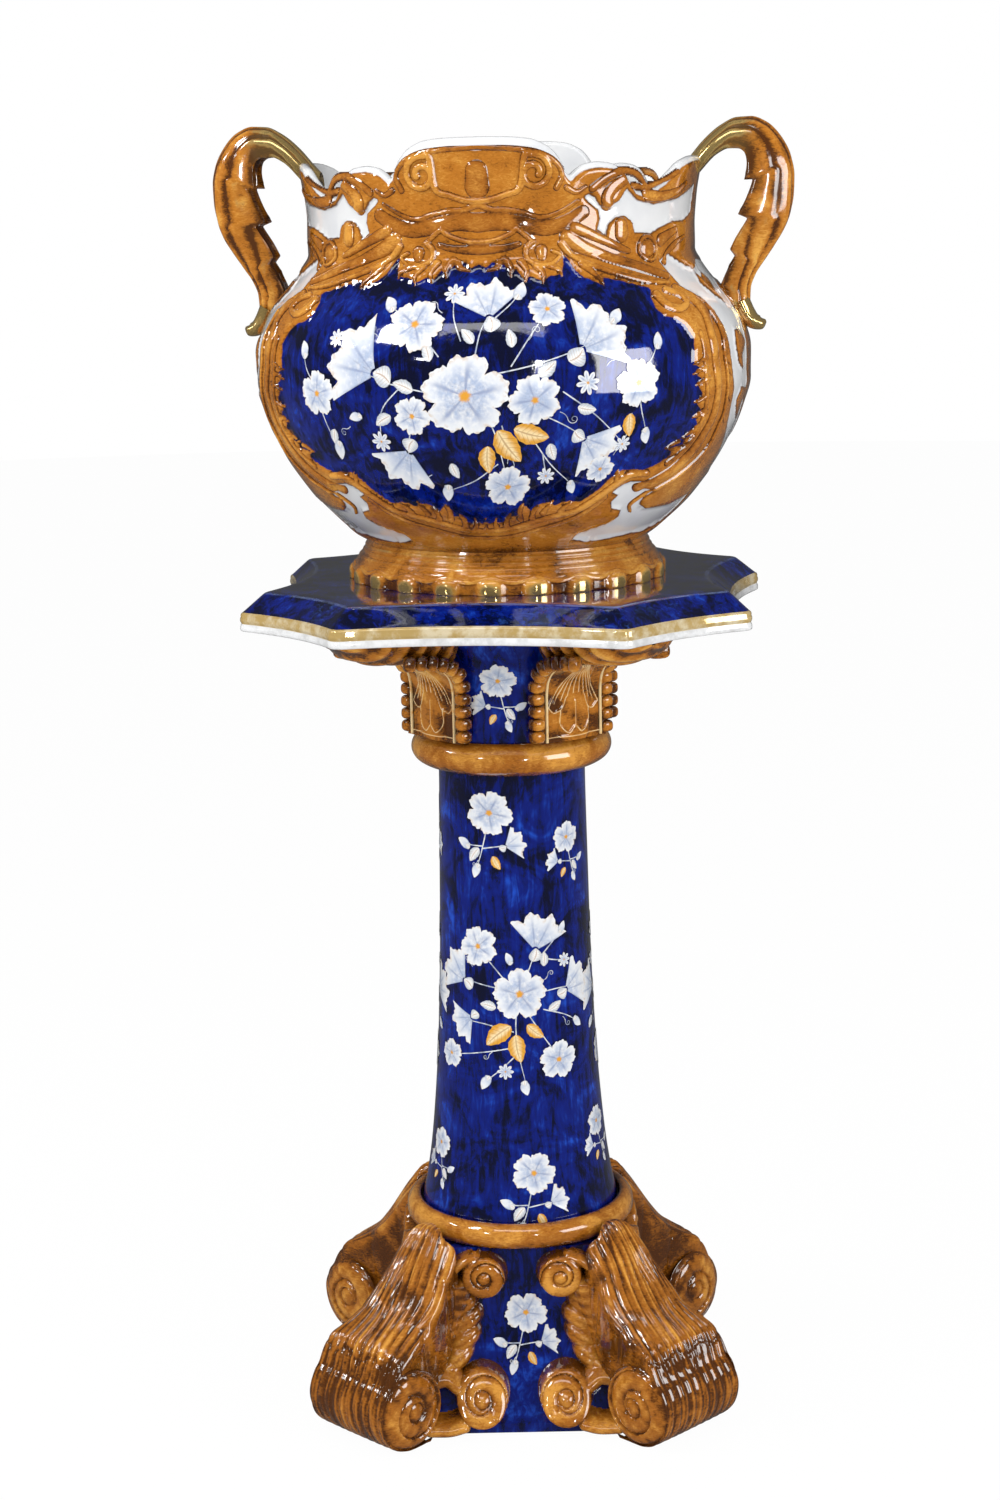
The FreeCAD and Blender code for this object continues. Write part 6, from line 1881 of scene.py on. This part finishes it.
def spray(mirror: float = 1.0) -> tuple:
    """The bowl's loose bouquet: roses, cups, stars, buds, leaves and tendrils, spread over the panel.

    Args:
        mirror: 1, or -1 for its mirror image.

    Returns:
        The motifs and the stems.
    """
    S = Shape
    motifs = [
        (S.LEAF, 26, -44, 34, 215, 1.0), (S.LEAF, 44, -33, 30, 255, 1.0), (S.LEAF, 8, -56, 25, 180, 1.0),
        (S.LEAF, -58, 5, 18, 70, 0.0), (S.LEAF, -38, 32, 16, 20, 0.0), (S.LEAF, 56, 18, 18, -50, 0.0),
        (S.LEAF, 28, 42, 15, 10, 0.0), (S.LEAF, -6, 44, 15, 40, 0.0), (S.LEAF, -78, -22, 17, 120, 0.0),
        (S.LEAF, 88, -14, 16, -100, 0.0), (S.LEAF, 62, -50, 16, -160, 0.0), (S.LEAF, -22, -66, 15, 200, 0.0),
        (S.LEAF, 128, -30, 20, 190, 1.0), (S.LEAF, -133, -38, 15, 160, 0.0),
        (S.CUP, -92, 20, 50, 62, 0.7), (S.CUP, 92, 38, 46, -52, 0.5), (S.CUP, 10, 68, 40, 8, 0.4),
        (S.CUP, -64, -56, 40, 150, 0.8), (S.CUP, 94, -44, 36, -128, 0.6),
        (S.ROSE, -8, -2, 72, 12, 0.4), (S.ROSE, 46, -6, 44, 40, 0.7), (S.ROSE, -50, 54, 50, 0, 0.3),
        (S.ROSE, 60, 66, 34, 25, 0.6), (S.ROSE, -52, -18, 34, 60, 0.2), (S.ROSE, 24, -82, 44, 10, 0.6),
        (S.ROSE, 132, 4, 42, 30, 0.5), (S.ROSE, -142, -2, 40, 15, 0.4), (S.ROSE, 108, -68, 28, 0, 0.5),
        (S.STAR, -20, 82, 19, 0, 0.2), (S.STAR, 88, 6, 19, 10, 0.2), (S.STAR, -84, -40, 18, 0, 0.1),
        (S.STAR, 58, -72, 16, 20, 0.1), (S.STAR, -122, 42, 15, 0, 0.2), (S.STAR, 124, -46, 15, 0, 0.2),
        (S.BUD, 38, 84, 18, -25, 0.4), (S.BUD, -78, 72, 17, 35, 0.3), (S.BUD, 118, 58, 16, -45, 0.3),
        (S.BUD, -32, -88, 17, 165, 0.3), (S.BUD, -132, -50, 18, 160, 0.3), (S.BUD, 146, -40, 15, 200, 0.4),
        (S.BUD, -158, 32, 15, 25, 0.3), (S.BUD, 84, -84, 14, 200, 0.3), (S.BUD, 152, 36, 14, -20, 0.3),
        (S.BUD, -104, -20, 13, 100, 0.3)]
    stems = [
        ((0, 0), (14, -32), (20, -58), (24, -78)), ((-7, -5), (-34, 0), (-68, 7), (-88, 14)),
        ((7, 13), (42, 20), (70, 28), (86, 34)), ((0, 26), (4, 46), (10, 60)), ((-28, 28), (-40, 42), (-50, 52)),
        ((28, 20), (45, 45), (60, 64)), ((-50, -18), (-58, -38), (-62, -52)), ((42, -13), (72, -28), (90, -40)),
        ((-11, 40), (-18, 60), (-20, 80)), ((16, -60), (-6, -76), (-32, -86)), ((46, -40), (62, -62), (84, -82)),
        ((-60, 5), (-78, -14), (-84, -38)), ((11, 54), (28, 70), (38, 82)), ((-50, 56), (-66, 64), (-78, 71)),
        ((88, 34), (104, 48), (118, 57)), ((132, 2), (136, -16), (146, -38)), ((-142, -6), (-138, -30), (-132, -48)),
        ((-144, 4), (-154, 16), (-158, 31)), ((134, 10), (146, 24), (152, 36)), ((68, 0), (96, -20), (124, -45)),
        ((-90, 18), (-108, 30), (-122, 41)), ((54, -52), (56, -62), (58, -70)), ((20, -26), (25, -46), (24, -60)),
        ((92, -46), (102, -58), (108, -66)), ((128, -20), (128, -34), (118, -56))]
    curls = [((-28, 64), 150, 30, 1), ((42, 40), 40, 27, -1), ((66, -16), -20, 32, 1), ((-44, -70), 200, 27, -1),
             ((28, -56), -60, 30, 1), ((-80, 42), 120, 25, -1), ((104, 18), 60, 25, 1), ((-112, -28), 220, 25, 1)]
    return placed(motifs, stems, curls, 1.0, mirror)


def posy(scale: float = 1.0, mirror: float = 1.0) -> tuple:
    """The column's bouquet, about 150 mm tall: a wide rose, three more, cups, ochre leaves and buds."""
    S = Shape
    motifs = [
        (S.LEAF, -14, -34, 30, 130, 1.0), (S.LEAF, 4, -46, 27, 190, 1.0), (S.LEAF, 20, -30, 20, 230, 1.0),
        (S.LEAF, 40, -8, 15, -60, 0.0), (S.LEAF, -24, -6, 16, 80, 0.0), (S.LEAF, 30, 38, 14, 0, 0.0),
        (S.CUP, -56, 20, 36, 55, 0.6), (S.CUP, 24, 56, 38, -14, 0.5), (S.CUP, 60, 8, 34, -70, 0.4),
        (S.CUP, -46, -22, 28, 120, 0.7), (S.ROSE, 6, 6, 54, 18, 0.4), (S.ROSE, -34, 50, 42, 40, 0.3),
        (S.ROSE, 42, -60, 40, 10, 0.5), (S.ROSE, -66, -58, 30, 25, 0.4), (S.STAR, 52, 34, 14, 0, 0.2),
        (S.STAR, -8, -68, 15, 0, 0.6), (S.BUD, -26, -80, 15, 150, 0.3), (S.BUD, 10, -84, 14, 190, 0.3),
        (S.BUD, -4, 40, 12, 20, 0.3), (S.BUD, 66, -28, 13, 220, 0.3), (S.BUD, 50, 66, 12, -30, 0.3)]
    stems = [((4, 0), (2, -24), (4, -50), (10, -80)), ((-4, 10), (-30, 14), (-52, 18)), ((10, 16), (18, 36), (22, 48)),
             ((-8, 20), (-22, 36), (-32, 44)), ((14, -14), (30, -40), (40, -54)), ((0, -30), (-24, -24), (-44, -22)),
             ((4, -50), (-12, -66), (-26, -78)), ((18, 6), (42, 8), (56, 8)), ((4, -44), (-34, -52), (-62, -58)),
             ((28, -10), (50, -18), (66, -28)), ((30, 44), (42, 56), (50, 66)), ((26, 40), (40, 36), (52, 34))]
    curls = [((-40, 30), 140, 22, 1), ((30, 18), 30, 22, -1), ((-20, -50), 210, 20, -1), ((48, -20), -40, 22, 1)]
    return placed(motifs, stems, curls, scale, mirror)


def sprig(scale: float = 1.0, mirror: float = 1.0) -> tuple:
    """A small sprig, about 70 mm tall: one wide rose, a cup, a bud and leaves."""
    S = Shape
    motifs = [(S.LEAF, 12, -26, 15, 215, 0.0), (S.LEAF, -8, -32, 13, 150, 1.0), (S.ROSE, -2, 11, 43, 10, 0.4),
              (S.CUP, -20, -16, 19, 70, 0.4), (S.BUD, 23, -17, 14, -60, 0.4), (S.BUD, 10, -40, 13, 200, 0.3)]
    stems = [((-2, 8), (2, -10), (6, -26), (10, -38)), ((4, -18), (14, -18), (23, -17)), ((4, -20), (-8, -18), (-18, -17))]
    return placed(motifs, stems, [((7, -30), -30, 16, 1)], scale, mirror)


def placed(motifs: list, stems: list, curls: list, scale: float, mirror: float) -> tuple:
    """Scale a drawing, mirror it where asked, and turn its rows to motifs and stems."""
    shown = tuple(Motif(shape, mirror * x * scale, y * scale, size * scale, mirror * turn, tone)
                  for shape, x, y, size, turn, tone in motifs)
    lines = [Stem(tuple((mirror * x * scale, y * scale) for x, y in line), 1.0 * scale ** 0.5) for line in stems]
    for start, heading, size, hand in curls:
        free = tendril((start[0] * scale, start[1] * scale), heading, size * scale, hand)
        lines.append(Stem(tuple((mirror * x, y) for x, y in free.line), free.wide))
    return shown, tuple(lines)


COLUMN_SKIN = TurnedSkin(COLUMN_BASE, (2, 22, 36, 52, 70, 96, 128, 160, 200, 250, 320, 380, 406),
                         (86, 85.4, 82.2, 79.5, 77, 74.3, 71.6, 69.5, 67.6, 65.8, 64.4, 63.3, 63))


def paint_flowers() -> None:
    """Paint the bowl's panels, the column, the capital's panels and the plinth's panels."""
    for side, turn, mirror in (("front", 0.0, 1.0), ("rear", 180.0, -1.0)):
        motifs, stems = spray(mirror)
        Painting(f"bowl_flowers_{side}", POT_SKIN, (turn, 168.0), "jardiniere", "painted_glaze", motifs,
                 stems).build()
    for number, (angle, up, drawing, scale) in enumerate((
            (4, 214, posy, 0.92), (-14, 366, sprig, 1.0), (52, 344, sprig, 0.7), (14, 52, sprig, 0.95),
            (72, 86, sprig, 0.7), (124, 206, posy, 0.88), (244, 206, posy, 0.88), (150, 362, sprig, 0.95),
            (215, 56, sprig, 0.9), (268, 356, sprig, 0.9), (305, 70, sprig, 0.7))):
        motifs, stems = drawing(scale, -1.0 if number % 2 else 1.0)
        Painting(f"column_flowers_{number}", COLUMN_SKIN, (angle, up), "column", "cobalt_glaze", motifs, stems,
                 seed=number + 5).build()
    for number, side in enumerate(("front", "right", "rear", "left")):
        motifs, stems = sprig(0.76, -1.0 if number % 2 else 1.0)
        Painting(f"capital_flowers_{side}", DRUM_SKIN, (number * 90.0, 45.0), "capital", "cobalt_glaze", motifs,
                 stems, seed=number + 30).build()
        motifs, stems = sprig(0.92, 1.0 if number % 2 else -1.0)
        Painting(f"foot_flowers_{side}", PanelSkin(FOOT_TURN + 90.0 * number), (1.0, 84.0), "stand_foot",
                 "cobalt_glaze", motifs, stems, seed=number + 40, lift=0.4).build()


# ---------------------------------------------------------------- camera and studio

@dataclass
class Studio:
    """The photographer's camera, lamps, floor and white surroundings."""

    distance: float = 2.364
    height: float = 1.052
    azimuth: float = 6.33
    pitch: float = 11.51
    roll: float = 1.12

    def camera(self) -> None:
        """Set the camera where the photograph was taken from."""
        data = bpy.data.cameras.new("camera")
        data.lens = 67.15
        data.sensor_width = 36.0
        data.sensor_fit = "AUTO"
        data.shift_x = -11.5 / 1500
        data.dof.use_dof = False
        heading = math.radians(self.azimuth)
        obj = bpy.data.objects.new("camera", data)
        obj.location = (self.distance * math.sin(heading), -self.distance * math.cos(heading), self.height)
        tilt, lean = math.radians(self.pitch), math.radians(-self.roll)
        forward = Vector((-math.sin(heading) * math.cos(tilt), math.cos(heading) * math.cos(tilt), -math.sin(tilt)))
        side = forward.cross(Vector((0, 0, 1))).normalized()
        top = side.cross(forward)
        turned_side = side * math.cos(lean) + top * math.sin(lean)
        turned_top = top * math.cos(lean) - side * math.sin(lean)
        matrix = obj.matrix_world.copy()
        for row in range(3):
            matrix[row][0], matrix[row][1], matrix[row][2] = turned_side[row], turned_top[row], -forward[row]
            matrix[row][3] = obj.location[row]
        obj.matrix_world = matrix
        bpy.context.scene.collection.objects.link(obj)
        bpy.context.scene.camera = obj

    def lamp(self, name: str, place: tuple, aim: tuple, size: tuple, watts: float, shines: bool = True) -> None:
        """Hang a rectangular soft lamp.

        Args:
            name: Its name.
            place: Where it hangs, in metres.
            aim: What it points at.
            size: Its width and height.
            watts: Its power.
            shines: Whether glossy surfaces mirror it.
        """
        data = bpy.data.lights.new(name, "AREA")
        data.shape = "RECTANGLE"
        data.size, data.size_y = size
        data.energy = watts
        obj = bpy.data.objects.new(name, data)
        obj.visible_glossy = shines
        obj.location = place
        obj.rotation_euler = (Vector(aim) - Vector(place)).to_track_quat("-Z", "Y").to_euler()
        bpy.context.scene.collection.objects.link(obj)

    def surroundings(self) -> None:
        """Fill the world with soft light that the camera sees as white and glossy reflections see as dim."""
        world = bpy.data.worlds.new("studio")
        world.use_nodes = True
        nodes, links = world.node_tree.nodes, world.node_tree.links
        back = next(n for n in nodes if n.type == "BACKGROUND")
        path = nodes.new("ShaderNodeLightPath")
        seen = nodes.new("ShaderNodeMath")
        seen.operation = "MAXIMUM"
        links.new(path.outputs["Is Camera Ray"], seen.inputs[0])
        links.new(path.outputs["Is Transmission Ray"], seen.inputs[1])
        shine = nodes.new("ShaderNodeMath")
        shine.operation = "MULTIPLY_ADD"
        links.new(seen.outputs[0], shine.inputs[0])
        shine.inputs[1].default_value = 0.60
        shine.inputs[2].default_value = 0.40
        glossy = nodes.new("ShaderNodeMath")
        glossy.operation = "MULTIPLY_ADD"
        links.new(path.outputs["Is Glossy Ray"], glossy.inputs[0])
        glossy.inputs[1].default_value = -0.32
        links.new(shine.outputs[0], glossy.inputs[2])
        back.inputs["Color"].default_value = (1, 1, 1, 1)
        links.new(glossy.outputs[0], back.inputs["Strength"])
        bpy.context.scene.world = world

    def floor(self) -> None:
        """Lay a wide round white floor."""
        paint = Paint("studio_floor")
        paint.join(paint.shader.inputs["Base Color"],
                   paint.blend(paint.step(paint.noise(3, 2), 0.3, 0.7), (0.86, 0.86, 0.86), (0.88, 0.88, 0.88)))
        paint.join(paint.shader.inputs["Roughness"], 0.9)
        path = paint.node("ShaderNodeLightPath")
        glow = paint.node("ShaderNodeEmission", {"Color": (1, 1, 1, 1), "Strength": 1.0})
        share = paint.sum("MULTIPLY", path.outputs["Is Camera Ray"], 0.975)
        seen = paint.node("ShaderNodeMixShader", {0: share, 1: paint.shader.outputs[0], 2: glow.outputs[0]})
        dim = paint.node("ShaderNodeEmission", {"Color": (1, 1, 1, 1), "Strength": 0.10})
        mix = paint.node("ShaderNodeMixShader", {0: path.outputs["Is Glossy Ray"], 1: seen.outputs[0], 2: dim.outputs[0]})
        out = next(n for n in paint.tree.nodes if n.type == "OUTPUT_MATERIAL")
        paint.tree.links.new(mix.outputs[0], out.inputs["Surface"])
        mesh = bpy.data.meshes.new("floor")
        rim = [(9 * math.cos(a), 9 * math.sin(a), -0.0005) for a in np.linspace(0, 2 * math.pi, 96, endpoint=False)]
        mesh.from_pydata(rim, [], [tuple(range(96))])
        mesh.materials.append(paint.made)
        obj = bpy.data.objects.new("floor", mesh)
        bpy.context.scene.collection.objects.link(obj)

    def build(self) -> None:
        """Set everything up."""
        self.camera()
        self.surroundings()
        self.floor()
        self.lamp("left_softbox", (-2.3, -0.9, 1.3), (0, 0, 0.6), (0.9, 1.7), 27, False)
        self.lamp("overhead", (0.0, -0.3, 3.1), (0, 0, 0.6), (2.4, 1.2), 23, False)
        self.lamp("front_softbox", (1.5, -2.4, 1.6), (0, 0, 0.6), (0.9, 0.9), 14, False)
        self.lamp("right_window", (2.12, -1.18, 1.10), (0, 0, 0.62), (1.25, 1.15), 30)
        self.lamp("left_spark", (-1.12, -1.95, 1.34), (0, 0, 0.9), (0.17, 0.17), 5)
        self.lamp("left_slash", (-2.2, -0.55, 1.95), (0, 0, 0.9), (0.42, 0.10), 4)
        self.lamp("top_strip", (0.0, -1.7, 2.7), (0, 0, 0.8), (1.9, 0.50), 10)
        self.lamp("high_window", (-1.5, -1.1, 2.3), (0, 0, 0.3), (0.30, 0.55), 16)
        self.lamp("low_window", (0.9, -2.3, 0.95), (0, 0, 0.15), (0.10, 0.34), 4)
        scene = bpy.context.scene
        scene.view_settings.view_transform = "Standard"
        scene.view_settings.look = "None"


def dress_nodes() -> None:
    """Give the CAD nodes that stay their finishes."""
    for name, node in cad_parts.items():
        if node.hide_render:
            continue
        finish = CobaltGlaze() if name in ("foot_plinth", "capital_drum") else AmberGlaze("amber_plain", 0.42)
        node.data.materials.clear()
        node.data.materials.append(finish.material())


def main() -> None:
    """Build the jardiniere, its stand and the studio."""
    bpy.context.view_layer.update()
    bowl = Bowl()
    bowl.build()
    bowl.ornament()
    FootRing().build()
    for hand in (-1.0, 1.0):
        Handle(hand).build()
    Slab().build()
    for piece in stand_turnings():
        piece.build()
    Drum().build()
    for number, corner in enumerate(("front_right", "rear_right", "rear_left", "front_left")):
        ScrollLeg(corner, FOOT_TURN + 45.0 + 90.0 * number).build()
        Bracket(corner, 45.0 + 90.0 * number).build()
    for number, side in enumerate(("front", "right", "rear", "left")):
        FootPanel(side, FOOT_TURN + 90.0 * number).build()
    paint_flowers()
    dress_nodes()
    Studio().build()


if __name__ == "__main__":
    main()
